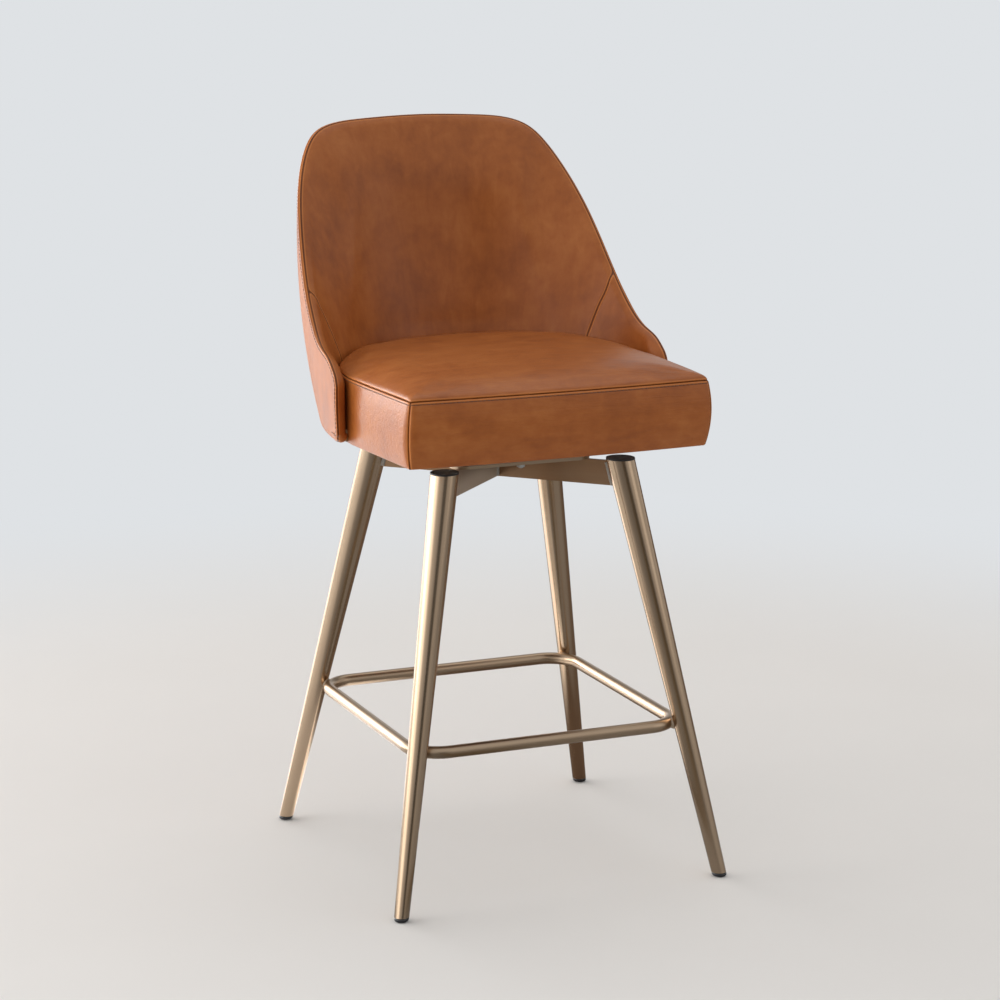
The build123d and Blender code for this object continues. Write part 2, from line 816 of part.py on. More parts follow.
def shell_screws(offset=0.0):
    """Countersunk screws through the plywood into the board, grown by an offset to cut their holes."""
    shank = shell_screw_diameter / 2 + offset
    head = shell_screw_head_diameter / 2 + offset
    screws = []
    for place, inward in shell_screw_frames():
        body = Cylinder(shank, shell_screw_length + offset, align=ON_BASE)
        body = body + Cone(head, shank, head - shank, align=ON_BASE)
        if offset > 0:
            body = body + Pos(0, 0, -screw_sink) * Cylinder(head, screw_sink, align=ON_BASE)
        screws.append(Plane(origin=place + inward * screw_sink, z_dir=inward) * body)
    return screws


def make_plywood(holes):
    """The bent plywood shell inside the back."""
    form = shell_inside(plywood_offset) - shell_inside(pad_offset - soft_clearance)
    form = form & slab(seat_bottom + plywood_bottom_setback, seat_bottom + back_height)
    return both_sides(trim(form, plywood_rim_setback)) - holes


def make_outer_cover(form):
    """Leather and thin foam over the plywood's outer face."""
    return both_sides(trim(form - shell_inside(cover_thickness), 0))


def make_rim_roll():
    """The padding over the plywood's edge, between the outer cover and the inner padding."""
    layer = shell_inside(plywood_offset) - shell_inside(pad_offset - soft_clearance)
    layer = layer & slab(seat_bottom, seat_bottom + back_height)
    return both_sides(trim(layer, 0) - trim(layer, plywood_rim_setback - soft_clearance))


def make_pads():
    """The inner padding, cut into a centre panel and two wings."""
    form = shell_inside(pad_offset) & slab(seat_bottom, seat_bottom + back_height)
    pad = trim(form - inner_space(), 0) - board_room()
    wing = pad & wing_region(0)
    centre = both_sides(pad - wing_region(soft_clearance))
    return centre, wing, mirror(wing, about=Plane.YZ)


def wing_region(gap):
    """Everything in front of the seam between the wings and the centre panel."""
    low, high = seat_bottom - long_margin, seat_bottom + back_height
    bend = (wing_seam + gap, seat_bottom + back_height * wing_seam_bend_share)
    top = (wing_seam_top + gap, seat_bottom + back_height * wing_seam_top_share)
    run = top[0] + wing_seam_run
    past = top[1] + wing_seam_run * wing_seam_top_way[1]
    with BuildSketch(Plane.YZ) as sketch:
        with BuildLine():
            Polyline(bend, (bend[0], low), (-far, low), (-far, high), (run, high), (run, past), top)
            Spline(bend, top, tangents=(wing_seam_bend_way, wing_seam_top_way))
        make_face()
    return extrude(sketch.sketch, far, both=True)


# ---------------------------------------------------------------- the whole stool

def build():
    """Make every node and write it."""
    os.makedirs("parts", exist_ok=True)
    for corner in CORNERS:
        save("leg_" + corner, make_leg(corner))
        save("leg_cap_" + corner, make_leg_cap(corner))
        save("glide_" + corner, make_glide(corner))
    save("footrest_ring", make_footrest_ring())
    save("footrest_welds", *make_footrest_welds())

    bars = make_brace_bars()
    save("brace_bar_lower", bars[0])
    save("brace_bar_upper", bars[1])
    save("brace_centre_welds", *make_brace_centre_welds(bars))
    save("brace_leg_welds", *make_brace_leg_welds(bars))
    save("mount_plate", make_mount_plate())
    save("mount_plate_welds", *make_plate_welds(bars))

    save("swivel_lower_plate", make_lower_plate())
    save("swivel_upper_plate", make_upper_plate())
    save("swivel_rivet", make_rivet())
    save("ball_cage", make_ball_cage())
    save("bearing_balls", *make_balls())
    save("swivel_bolts", *make_lower_bolts())
    save("swivel_nuts", *make_lower_nuts())
    save("seat_bolts", *make_upper_bolts())
    save("seat_t_nuts", *make_t_nuts())

    holes = Part() + shell_screws(fit_clearance)
    board = make_seat_board(holes)
    save("spacer_board", make_spacer())
    save("dust_cover", make_dust_cover())
    save("seat_board", board)
    save("seat_foam", make_foam())
    save("seat_cover", make_seat_cover())

    form = back_form()
    save("shell_screws", *shell_screws())
    save("back_plywood", make_plywood(holes))
    save("back_outer_cover", make_outer_cover(form))
    save("back_rim_roll", make_rim_roll())
    centre, left, right = make_pads()
    save("back_inner_panel", centre)
    save("wing_pad_left", left)
    save("wing_pad_right", right)


build()
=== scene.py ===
import json
import math

import bmesh
import bpy
import numpy as np
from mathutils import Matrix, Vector
from mathutils.bvhtree import BVHTree
from mathutils.kdtree import KDTree


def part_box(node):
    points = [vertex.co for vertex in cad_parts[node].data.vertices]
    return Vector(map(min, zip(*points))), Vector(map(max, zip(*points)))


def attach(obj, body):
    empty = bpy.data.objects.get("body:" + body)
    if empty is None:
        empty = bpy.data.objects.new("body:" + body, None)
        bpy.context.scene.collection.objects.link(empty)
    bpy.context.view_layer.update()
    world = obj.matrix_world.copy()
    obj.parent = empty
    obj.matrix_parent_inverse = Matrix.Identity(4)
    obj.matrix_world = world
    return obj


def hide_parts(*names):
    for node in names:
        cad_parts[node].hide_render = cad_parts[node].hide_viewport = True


bl_info = {
    "name": "Counter stool with a padded wrap-around back",
    "version": (1, 0, 0),
    "blender": (4, 5, 0),
    "location": "3D View > Sidebar > Counter stool",
    "description": "Dresses the stool's frame in leather, brushed bronze, plastic and plywood",
    "category": "Object",
}

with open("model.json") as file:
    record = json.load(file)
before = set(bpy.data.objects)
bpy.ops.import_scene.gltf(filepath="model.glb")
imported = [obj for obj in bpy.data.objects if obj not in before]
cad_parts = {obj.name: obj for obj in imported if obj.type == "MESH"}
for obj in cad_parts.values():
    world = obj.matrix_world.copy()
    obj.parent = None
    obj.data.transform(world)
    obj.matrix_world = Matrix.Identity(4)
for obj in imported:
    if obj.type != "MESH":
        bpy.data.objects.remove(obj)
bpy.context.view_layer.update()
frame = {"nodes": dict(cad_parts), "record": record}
CUSHION_LOW, CUSHION_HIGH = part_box("seat_cover")
BACK_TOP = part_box("back_outer_cover")[1].z
BRACE_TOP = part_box("brace_bar_upper")[1].z
SEAT_BOTTOM = CUSHION_LOW.z
MILLIMETRE = 0.001


# ---------------------------------------------------------------- sizes and colours

def length(label, text, value, **more):
    """A length property in metres."""
    return bpy.props.FloatProperty(name=label, description=text, default=value, unit="LENGTH", **more)


def number(label, text, value, **more):
    """A plain number property."""
    return bpy.props.FloatProperty(name=label, description=text, default=value, **more)


def colour(label, text, value):
    """A colour property."""
    return bpy.props.FloatVectorProperty(
        name=label, description=text, default=value, size=3, subtype="COLOR", min=0.0, max=1.0
    )


class StoolSeatSizes(bpy.types.PropertyGroup):
    """The seat cushion's plan, its crown and its stitching."""

    width: length("Width", "Widest part of the cushion, beside the wings", CUSHION_HIGH.x - CUSHION_LOW.x)
    front_taper: length("Front taper", "How much narrower the front edge is than the widest part", 0.022)
    front_bow: length("Front bow", "How far the middle of the front edge stands before its corners", 0.007)
    widest: length("Widest place", "Where along Y the cushion is widest", -0.030)
    corner_radius: length("Corner radius", "Radius of the two front corners", 0.006)
    top_reach: length("Top reach", "How far the seam stands before the CAD cushion's front", 0.006)
    foot_reach: length("Foot reach", "How far the lower edge stands before the CAD cushion's front", 0.002)
    crown: length("Crown", "Height of the top panel's middle above its seam", 0.018)
    crown_dome: length("Crown dome", "Part of the crown that rises slowly to the middle", 0.0085)
    crown_roll: length("Crown roll", "Width of the round along the top panel's edge", 0.017)
    crown_power: number("Crown power", "How square the slow rise is", 2.4)
    swell: length("Swell", "How far the side band stands out midway up", 0.0065)
    wing_line: length("Wing line", "Where along Y the wings begin to hold the sides", -0.034)
    hem_radius: length("Hem radius", "Radius of the rolled lower edge", 0.003)
    cells: bpy.props.IntProperty(name="Cells", description="Cells along each side", default=56)
    pressure: number("Pressure", "Air pressure that stuffs the cushion in the simulation", 4.0)
    swell_limit: length("Swell limit", "Furthest that stuffing may move a point", 0.007)


class StoolBackSizes(bpy.types.PropertyGroup):
    """The wrap-around back's outer and inner faces and its rim."""

    height: length("Height", "From the lower edge to the top of the rim", BACK_TOP - SEAT_BOTTOM)
    width_bottom: length("Width below", "Outer width at the lower edge", 0.460)
    width_top: length("Width above", "Outer width at the top", 0.380)
    width_belly: length("Width belly", "Extra outer width midway up", 0.026)
    rear_bottom: length("Rear below", "Outer face's rear at the lower edge", 0.210)
    rear_top: length("Rear above", "Outer face's rear at the top", 0.275)
    rear_belly: length("Rear belly", "Extra depth midway up", 0.012)
    widest_bottom: length("Widest place below", "Where along Y the lower edge is widest", -0.110)
    widest_top: length("Widest place above", "Where along Y the top is widest", 0.040)
    squareness_bottom: number("Squareness below", "Power of the lower section's curve", 2.8)
    squareness_top: number("Squareness above", "Power of the top section's curve", 5.4)
    inner_width_top: length("Inner width above", "Inner width at the top", 0.314)
    inner_rear_top: length("Inner rear above", "Inner face's rear at the top", 0.242)
    inner_rear_belly: length("Inner belly", "Extra inner depth midway up", 0.006)
    inner_widest_top: length("Inner widest place above", "Where along Y the inner top is widest", 0.020)
    inner_squareness_top: number("Inner squareness above", "Power of the top inner section's curve", 3.6)
    lean_start: length("Lean start", "Height at which the inner face starts to lean", 0.089)
    wing_tip: length("Wing tip", "Where along Y the wings end", -0.030)
    tip_radius: length("Tip radius", "Rounding of the wing's upper front corner", 0.010)
    corner_radius: length("Corner radius", "Rounding of the wing's lower front corner", 0.012)
    front_roll: length("Front roll", "How far the padding rolls round the wing's front edge", 0.020)
    rim_roll: length("Rim roll", "How far the padding rolls down from the rim", 0.008)
    rim_thickness: length("Rim thickness", "Thickness of the padded rim", 0.0105)
    padding_rise: length("Padding rise", "Distance from the rim at which the padding is full", 0.105)
    hem_radius: length("Hem radius", "Rounding of the lower edge", 0.009)
    columns: bpy.props.IntProperty(name="Columns", description="Columns of cells on each half", default=58)
    rows: bpy.props.IntProperty(name="Rows", description="Rows of cells on each face", default=54)
    pressure: number("Pressure", "Air pressure that fills the inner padding in the simulation", 3.0)
    swell_limit: length("Swell limit", "Furthest that the padding may move a point", 0.003)


class StoolLegSizes(bpy.types.PropertyGroup):
    """The legs and their glides."""

    spread_floor: length("Spread on the floor", "Distance between the legs' axes on the floor", 0.440)
    spread_top: length("Spread at the top", "Distance between the legs' axes at the top", 0.2406)
    height: length("Leg height", "Height of the legs' tops", 0.540)
    top_diameter: length("Top diameter", "Leg's diameter at the top", 0.036)
    foot_diameter: length("Foot diameter", "Leg's diameter at the foot", 0.019)
    glide_height: length("Glide height", "Height of the black glide", 0.0055)
    glide_edge: length("Glide edge", "Rounding of the glide's lower edge", 0.0035)


class StoolColours(bpy.types.PropertyGroup):
    """Colours of the stool's finishes."""

    leather: colour("Leather", "Main colour of the tan leather", (0.395, 0.112, 0.021))
    # leather_dark also colours the painted shade in seam and stitch grooves, and leather_light, brightened,
    # the fold band beside seams, partly rubbed leather and partly painted highlight.
    leather_dark: colour("Leather, dark", "Darker clouds in the leather", (0.215, 0.050, 0.009))
    leather_light: colour("Leather, light", "Lighter clouds and rubbed places", (0.54, 0.185, 0.045))
    thread: colour("Thread", "Sewing thread", (0.20, 0.075, 0.030))
    bronze: colour("Bronze", "Brushed bronze tube and bar", (0.50, 0.372, 0.258))
    # The brace bars share one bronze: the upper bar's darker colour is painted shade under the seat, and the
    # lower bar's paler colour is painted light, not a paler plating.
    shaded_upper_bar: colour("Upper bar", "Upper bar of the brace", (0.31, 0.195, 0.115))
    lit_lower_bar: colour("Lower bar", "Lower bar of the brace, plated paler", (0.74, 0.66, 0.56))
    # Painted shade from the seat along the top of the brace bars; it stands for shade, not for a welding
    # stain.
    painted_seat_shade: colour("Heat tint", "Stain from welding along the top of the brace", (0.16, 0.075, 0.03))
    # The weld's near-white colour is a painted highlight for the light the beads catch; the beads carry the
    # frame's plating.
    weld: colour("Weld", "Weld beads of the brace", (0.95, 0.89, 0.80))
    joint: colour("Joint", "Dressed joints of the footrest", (0.60, 0.46, 0.33))
    zinc: colour("Zinc", "Plated swivel and fasteners", (0.60, 0.61, 0.62))
    passivation: colour("Passivation", "Yellowish cloud on the zinc", (0.62, 0.55, 0.36))
    plastic: colour("Plastic", "Caps and glides", (0.012, 0.012, 0.013))
    plywood: colour("Plywood", "Faces of the boards", (0.55, 0.36, 0.19))
    cloth: colour("Cloth", "Darkest fibres of the dust cover", (0.010, 0.010, 0.011))
    foam: colour("Foam", "Palest part of the foam", (0.80, 0.76, 0.60))
    floor: colour("Floor", "Studio floor", (0.80, 0.768, 0.732))
    wall: colour("Wall", "Far part of the studio", (0.737, 0.760, 0.783))


class StoolStudio(bpy.types.PropertyGroup):
    """Camera and lights."""

    azimuth: bpy.props.FloatProperty(
        name="Azimuth", description="Camera's turn round the stool from straight in front",
        default=math.radians(-22.82), subtype="ANGLE",
    )
    elevation: bpy.props.FloatProperty(
        name="Elevation", description="Camera's angle above the horizon",
        default=math.radians(12.28), subtype="ANGLE",
    )
    distance: length("Distance", "From the camera to the point it looks at", 3.996)
    target_height: length("Target height", "Height of the point that the camera looks at", 0.4704)
    target_right: length("Target right", "Sideways offset of that point", 0.0046)
    lens: bpy.props.FloatProperty(
        name="Lens", description="Focal length", default=111.03, unit="CAMERA"
    )
    window_power: bpy.props.FloatProperty(
        name="Window power", description="Power of the soft light at the left", default=30.0, unit="POWER"
    )
    fill_power: bpy.props.FloatProperty(
        name="Fill power", description="Power of the weaker light at the right", default=5.0, unit="POWER"
    )


# ---------------------------------------------------------------- node materials

def blend(first, second, share):
    """A number on the way from one to another."""
    return first + (second - first) * share


def smooth_step(value):
    """A smooth rise from 0 to 1."""
    value = min(max(value, 0.0), 1.0)
    return value * value * (3 - 2 * value)


def times(base, factor):
    """A colour multiplied by one factor, or by one for each channel."""
    factors = factor if isinstance(factor, tuple) else (factor,) * 3
    return tuple(c * f for c, f in zip(base, factors))


class Nodes:
    """A short way to write a material's or the world's node tree."""

    def __init__(self, tree):
        self.tree = tree
        tree.nodes.clear()

    def add(self, kind, inputs=None, **settings):
        """Add a node. Inputs are values or other nodes' output sockets."""
        node = self.tree.nodes.new(kind)
        for key, value in settings.items():
            setattr(node, key, value)
        for key, value in (inputs or {}).items():
            if isinstance(value, bpy.types.NodeSocket):
                self.tree.links.new(value, node.inputs[key])
            else:
                node.inputs[key].default_value = value
        return node

    def place(self, scale=(1, 1, 1), turn=(0, 0, 0)):
        """The object's own coordinates, scaled and turned."""
        where = self.add("ShaderNodeTexCoord").outputs["Object"]
        mapping = {"Vector": where, "Scale": scale, "Rotation": turn}
        return self.add("ShaderNodeMapping", mapping).outputs["Vector"]

    def parts(self, vector):
        """A vector's X, Y and Z."""
        return self.add("ShaderNodeSeparateXYZ", {"Vector": vector}).outputs

    def noise(self, where, scale, detail=3.0, roughness=0.5, distortion=0.0):
        """A noise texture's value."""
        settings = {"Vector": where, "Scale": scale, "Detail": detail, "Roughness": roughness,
                    "Distortion": distortion}
        return self.add("ShaderNodeTexNoise", settings).outputs["Fac"]

    def cells(self, where, scale):
        """Distance to the nearest point of a cell texture."""
        return self.add("ShaderNodeTexVoronoi", {"Vector": where, "Scale": scale}).outputs["Distance"]

    def ramp(self, value, *stops):
        """A colour ramp. Stops are (position, grey or colour)."""
        node = self.add("ShaderNodeValToRGB", {"Fac": value})
        line = node.color_ramp.elements
        while len(line) < len(stops):
            line.new(0.5)
        for element, (position, shade) in zip(line, stops):
            element.position = position
            rgb = (shade,) * 3 if isinstance(shade, (int, float)) else tuple(shade)
            element.color = (*rgb, 1.0)
        return node.outputs["Color"]

    def mix(self, share, first, second, blending="MIX"):
        """A mix of two colours."""
        node = self.add("ShaderNodeMix", data_type="RGBA", blend_type=blending)
        for socket, value in ((0, share), (6, first), (7, second)):
            if isinstance(value, bpy.types.NodeSocket):
                self.tree.links.new(value, node.inputs[socket])
            else:
                node.inputs[socket].default_value = value if socket == 0 else (*value, 1.0)
        return node.outputs[2]

    def maths(self, operation, first, second=0.0):
        """A sum on two numbers."""
        return self.add("ShaderNodeMath", {0: first, 1: second}, operation=operation).outputs[0]

    def span(self, value, low, high, first=0.0, last=1.0):
        """A value mapped from the range first to last onto the range low to high."""
        settings = {"Value": value, "From Min": first, "From Max": last, "To Min": low, "To Max": high}
        return self.add("ShaderNodeMapRange", settings).outputs["Result"]

    def fall(self, value, nothing, full):
        """A smooth share from 0 where the value reaches one number to 1 where it reaches another."""
        settings = {"Value": value, "From Min": nothing, "From Max": full}
        return self.add("ShaderNodeMapRange", settings, interpolation_type="SMOOTHSTEP").outputs["Result"]

    def bump(self, height, distance, strength=1.0, normal=None):
        """A bump, on top of another one if given."""
        settings = {"Height": height, "Distance": distance, "Strength": strength}
        if normal is not None:
            settings["Normal"] = normal
        return self.add("ShaderNodeBump", settings).outputs["Normal"]

    def surface(self, **inputs):
        """The shader and the output."""
        named = {key.replace("_", " "): value for key, value in inputs.items()}
        shader = self.add("ShaderNodeBsdfPrincipled", named)
        self.add("ShaderNodeOutputMaterial", {"Surface": shader.outputs["BSDF"]})


def new_material(name):
    """An empty material with a node tree."""
    material = bpy.data.materials.new(name)
    material.use_nodes = True
    return material, Nodes(material.node_tree)


# Distances from a seam in millimetres at which each painted effect starts and is full: the lighter fold band,
# partly rubbed leather and partly painted highlight, and the painted shade in seam and stitch grooves
FOLD_RUB_AND_HIGHLIGHT_INSIDE, FOLD_RUB_AND_HIGHLIGHT_OUTSIDE = (1.2, 1.7), (3.6, 2.0)
SEAM_GROOVE_SHADE, STITCH_GROOVE_SHADE = (1.5, 0.5), (0.9, 0.2)


def clouded_tan(n, colours, mottle, grain_way):
    """The leather's tan with large clouds, mottle and streaks along the grain."""
    clouds = n.noise(n.place(), 9.0, 4.0, 0.55, 0.6)
    streaks = n.noise(n.place(scale=grain_way), 1.0, 4.0, 0.6, 0.4)
    both = n.maths("ADD", n.maths("MULTIPLY", clouds, 0.48), n.maths("MULTIPLY", mottle, 0.24))
    both = n.maths("ADD", both, n.maths("MULTIPLY", streaks, 0.28))
    stops = (0.36, colours.leather_dark), (0.50, colours.leather), (0.64, colours.leather_light)
    return n.mix(0.48, n.ramp(both, *stops), colours.leather)


def seamed_tan(n, colours, tone):
    """The tone with a lighter band on the fold beside each seam, partly rubbed leather and partly painted
    highlight, and painted shade in the grooves of seams and stitch lines.
    """
    gap, stitch_gap = (n.add("ShaderNodeAttribute", attribute_name=name).outputs["Fac"]
                       for name in ("seam_gap", "stitch_gap"))
    # Lighter band on the fold beside each seam: partly rubbed leather, partly painted highlight.
    fold_rub_and_highlight = n.maths("MULTIPLY", n.fall(gap, *FOLD_RUB_AND_HIGHLIGHT_INSIDE), n.fall(gap, *FOLD_RUB_AND_HIGHLIGHT_OUTSIDE))
    tone = n.mix(n.maths("MULTIPLY", fold_rub_and_highlight, 0.6), tone, times(colours.leather_light, 1.3))
    # Painted shade: seam and stitch grooves darken towards a deep brown.
    stitched = n.maths("MULTIPLY", n.fall(stitch_gap, *STITCH_GROOVE_SHADE), 0.6)
    groove = n.maths("MAXIMUM", n.fall(gap, *SEAM_GROOVE_SHADE), stitched)
    return n.mix(n.maths("MULTIPLY", groove, 0.85), tone, times(colours.leather_dark, 0.28))


def leather_material(colours, name="tan leather", creases=0.0, coat=0.05, grain_way=(70, 70, 16)):
    """Smooth aniline leather, clouded and seamed, with painted shade in the seam grooves, a lighter fold band
    beside them that is partly painted highlight, pores and fine creases.
    """
    material, n = new_material(name)
    where = n.place()
    mottle = n.noise(where, 55.0, 5.0, 0.6, 0.3)
    tone = seamed_tan(n, colours, clouded_tan(n, colours, mottle, grain_way))
    skin = n.bump(n.cells(where, 950.0), 0.00006, 0.35)
    skin = n.bump(n.noise(where, 420.0, 4.0, 0.6), 0.00012, 0.35, skin)
    if creases:
        lines = n.noise(n.place(scale=(28, 210, 210)), 1.0, 4.0, 0.6, 0.8)
        skin = n.bump(lines, creases, 0.6, skin)
    n.surface(Base_Color=tone, Roughness=n.span(mottle, 0.34, 0.47), Normal=skin, IOR=1.42,
              Specular_IOR_Level=0.42, Coat_Weight=coat, Coat_Roughness=0.22, Coat_IOR=1.4)
    return material


def thread_material(colours):
    """Twisted polyester thread."""
    material, n = new_material("tan thread")
    twist = n.noise(n.place(turn=(0.6, 0.4, 0.3)), 2600.0, 2.0)
    tone = n.mix(twist, times(colours.thread, 0.6), colours.thread)
    n.surface(Base_Color=tone, Roughness=0.55, Normal=n.bump(twist, 0.0001, 0.6), Sheen_Weight=0.2)
    return material


def round_the_leg(n, sizes):
    """Coordinates that follow each leaning leg: the turn round its centre line and the height."""
    where = n.parts(n.place())
    lean = (sizes.spread_floor - sizes.spread_top) / 2 / sizes.height
    centre = n.maths("SUBTRACT", sizes.spread_floor / 2, n.maths("MULTIPLY", where["Z"], lean))
    across = [n.maths("SUBTRACT", n.maths("ABSOLUTE", where[axis]), centre) for axis in ("X", "Y")]
    turn = n.maths("ARCTAN2", across[0], across[1])
    settings = {"X": n.maths("MULTIPLY", turn, 24.0), "Z": n.maths("MULTIPLY", where["Z"], 9.0)}
    return n.add("ShaderNodeCombineXYZ", settings).outputs["Vector"]


def bronze_material(colours, name, brushing, depth, smoothest):
    """Brushed bronze plating under a thin lacquer. The brushing gives the strokes' coordinates."""
    material, n = new_material(name)
    strokes = n.noise(brushing(n), 1.0, 2.0, 0.5)
    clouds = n.noise(n.place(), 14.0, 3.0, 0.5)
    base = times(colours.bronze, depth)
    tone = n.mix(strokes, times(base, 0.93), times(base, 1.06))
    tone = n.mix(n.span(clouds, 0.0, 0.30), tone, times(base, (0.92, 0.80, 0.66)))
    gloss = n.span(strokes, smoothest, smoothest + 0.06)
    n.surface(Base_Color=tone, Metallic=1.0, Roughness=gloss, Normal=n.bump(strokes, 0.000004, 0.10),
              Coat_Weight=0.12, Coat_Roughness=0.15)
    return material


def brace_material(colours, name, base, metallic, smoothest, seat_shade):
    """Plated flat bar, brushed along its length, with warm clouds and painted shade along its top, where the
    seat shades it.
    """
    material, n = new_material(name)
    strokes = n.noise(n.place(scale=(14, 14, 1500)), 1.0, 2.0, 0.5)
    clouds = n.noise(n.place(), 16.0, 3.0, 0.5)
    tone = n.mix(strokes, times(base, 0.86), times(base, 1.08))
    tone = n.mix(n.span(clouds, 0.0, 0.7), tone, times(base, (0.82, 0.70, 0.60)))
    # Painted shade: the colour darkens towards the bar's top, under the seat.
    top = n.fall(n.parts(n.place())["Z"], BRACE_TOP - 0.023, BRACE_TOP - 0.001)
    tone = n.mix(n.maths("MULTIPLY", top, seat_shade), tone, colours.painted_seat_shade)
    n.surface(Base_Color=tone, Metallic=metallic, Roughness=n.span(strokes, smoothest, smoothest + 0.08),
              Normal=n.bump(strokes, 0.00001, 0.2), Coat_Weight=0.05, Coat_Roughness=0.15)
    return material


def weld_material(name, base, ripple):
    """A weld bead with the ripples that a torch leaves, plated with the frame."""
    material, n = new_material(name)
    settings = {"Vector": n.place(scale=(300, 300, 420)), "Scale": 1.0, "Distortion": 1.5, "Detail": 1.0}
    waves = n.add("ShaderNodeTexWave", settings, bands_direction="Z").outputs["Fac"]
    n.surface(Base_Color=n.mix(waves, times(base, 0.45), base), Metallic=0.3,
              Roughness=n.span(waves, 0.42, 0.28), Normal=n.bump(waves, ripple, 0.9))
    return material


def zinc_material(colours):
    """Zinc plating with a faint clouded passivation."""
    material, n = new_material("zinc plating")
    clouds = n.noise(n.place(), 120.0, 4.0, 0.6)
    spots = n.cells(n.place(), 900.0)
    tone = n.mix(clouds, times(colours.zinc, 0.8), colours.zinc)
    tone = n.mix(n.maths("MULTIPLY", clouds, 0.25), tone, colours.passivation)
    n.surface(Base_Color=tone, Metallic=1.0, Roughness=n.span(spots, 0.28, 0.42),
              Normal=n.bump(spots, 0.00004, 0.3))
    return material


def plastic_material(colours, name, smoothest, roughest):
    """Black moulded nylon with a fine spark-eroded texture."""
    material, n = new_material(name)
    fine = n.noise(n.place(), 1400.0, 3.0, 0.6)
    wear = n.noise(n.place(), 60.0, 3.0)
    tone = n.mix(wear, colours.plastic, times(colours.plastic, 2.2))
    n.surface(Base_Color=tone, Roughness=n.span(fine, smoothest, roughest),
              Normal=n.bump(fine, 0.00003, 0.4))
    return material


def plywood_material(colours, ply=0.003):
    """Birch plywood: long grain on the faces and plies on the edges."""
    material, n = new_material("birch plywood")
    grain = n.noise(n.place(scale=(9, 160, 9)), 1.0, 5.0, 0.6, 0.4)
    face = n.mix(grain, times(colours.plywood, 0.72), colours.plywood)
    layers = n.maths("SINE", n.maths("MULTIPLY", n.parts(n.place())["Z"], 2 * math.pi / ply))
    upright = n.parts(n.add("ShaderNodeNewGeometry").outputs["Normal"])["Z"]
    edge = n.maths("LESS_THAN", n.maths("ABSOLUTE", upright), 0.5)
    dark = n.maths("MULTIPLY", n.maths("GREATER_THAN", layers, 0.0), edge)
    tone = n.mix(n.maths("MULTIPLY", dark, 0.55), face, times(colours.plywood, 0.4))
    n.surface(Base_Color=tone, Roughness=0.65, Normal=n.bump(grain, 0.0002, 0.4))
    return material


def cloth_material(colours):
    """Black non-woven cloth with spot bonds."""
    material, n = new_material("black non-woven cloth")
    fibres = n.noise(n.place(scale=(900, 500, 500)), 1.0, 4.0, 0.7)
    bonds = n.cells(n.place(), 700.0)
    tone = n.mix(fibres, colours.cloth, times(colours.cloth, 3.5))
    skin = n.bump(fibres, 0.0003, 0.6)
    n.surface(Base_Color=tone, Roughness=0.9, Normal=n.bump(bonds, 0.0002, 0.5, skin), Sheen_Weight=0.3)
    return material


def foam_material(colours):
    """Open-cell polyurethane foam."""
    material, n = new_material("cushion foam")
    pores = n.cells(n.place(), 800.0)
    tone = n.mix(pores, times(colours.foam, (0.69, 0.66, 0.57)), colours.foam)
    n.surface(Base_Color=tone, Roughness=0.95, Normal=n.bump(pores, 0.0006, 0.8))
    return material


def finish_makers(colours, legs):
    """What makes each kind of finish."""
    return {
        "leather": lambda: leather_material(colours),
        "seat_leather": lambda: leather_material(colours, "tan seat leather", 0.0012, 0.14, (22, 75, 75)),
        "thread": lambda: thread_material(colours),
        "bronze_upright": lambda: bronze_material(
            colours, "brushed bronze, legs", lambda n: round_the_leg(n, legs), 1.0, 0.19
        ),
        "bronze_level": lambda: bronze_material(
            colours, "brushed bronze, ring", lambda n: n.place(scale=(6, 6, 2200)), 0.88, 0.29
        ),
        # Lit and shaded copies of one bronze: the upper bar's dark colour paints shade, and the lower bar's
        # paler colour and duller finish paint the light it catches.
        "bronze_brace": lambda: brace_material(
            colours, "brushed bronze, upper bar", colours.shaded_upper_bar, 1.0, 0.26, 0.3
        ),
        "bronze_brace_lit": lambda: brace_material(
            colours, "brushed bronze, lower bar", colours.lit_lower_bar, 0.6, 0.42, 0.6
        ),
        # Painted highlight: the bead's near-white colour stands for light it catches.
        "bronze_weld": lambda: weld_material("weld bead", colours.weld, 0.0006),
        "bronze_joint": lambda: weld_material("dressed joint", colours.joint, 0.0001),
        "zinc_steel": lambda: zinc_material(colours),
        "black_nylon": lambda: plastic_material(colours, "black nylon", 0.42, 0.55),
        "glossy_nylon": lambda: plastic_material(colours, "glossy black nylon", 0.12, 0.24),
        "plywood": lambda: plywood_material(colours),
        "black_cloth": lambda: cloth_material(colours),
        "foam": lambda: foam_material(colours),
    }


made_finishes = {}


def finish_of(kind, colours):
    """A finish by its kind, made once."""
    if kind not in made_finishes:
        made_finishes[kind] = finish_makers(colours, bpy.context.scene.stool_legs)[kind]()
    return made_finishes[kind]


# ---------------------------------------------------------------- mesh helpers

def new_piece(name, points, faces, material):
    """A mesh object with smooth faces."""
    mesh = bpy.data.meshes.new(name)
    mesh.from_pydata([tuple(p) for p in points], [], faces)
    mesh.validate()
    mesh.polygons.foreach_set("use_smooth", [True] * len(mesh.polygons))
    mesh.materials.append(material)
    piece = bpy.data.objects.new(name, mesh)
    bpy.context.scene.collection.objects.link(piece)
    return piece


def place_piece(piece, body, slot, *nodes):
    """Ride on a body and stand for CAD nodes, which it hides. The slot is not used."""
    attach(piece, body)
    if nodes:
        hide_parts(*nodes)


def circle(centre, across, up, sides):
    """Points of a circle or an ellipse from its centre and its two half axes."""
    turns = [2 * math.pi * k / sides for k in range(sides)]
    return [centre + across * math.cos(t) + up * math.sin(t) for t in turns]


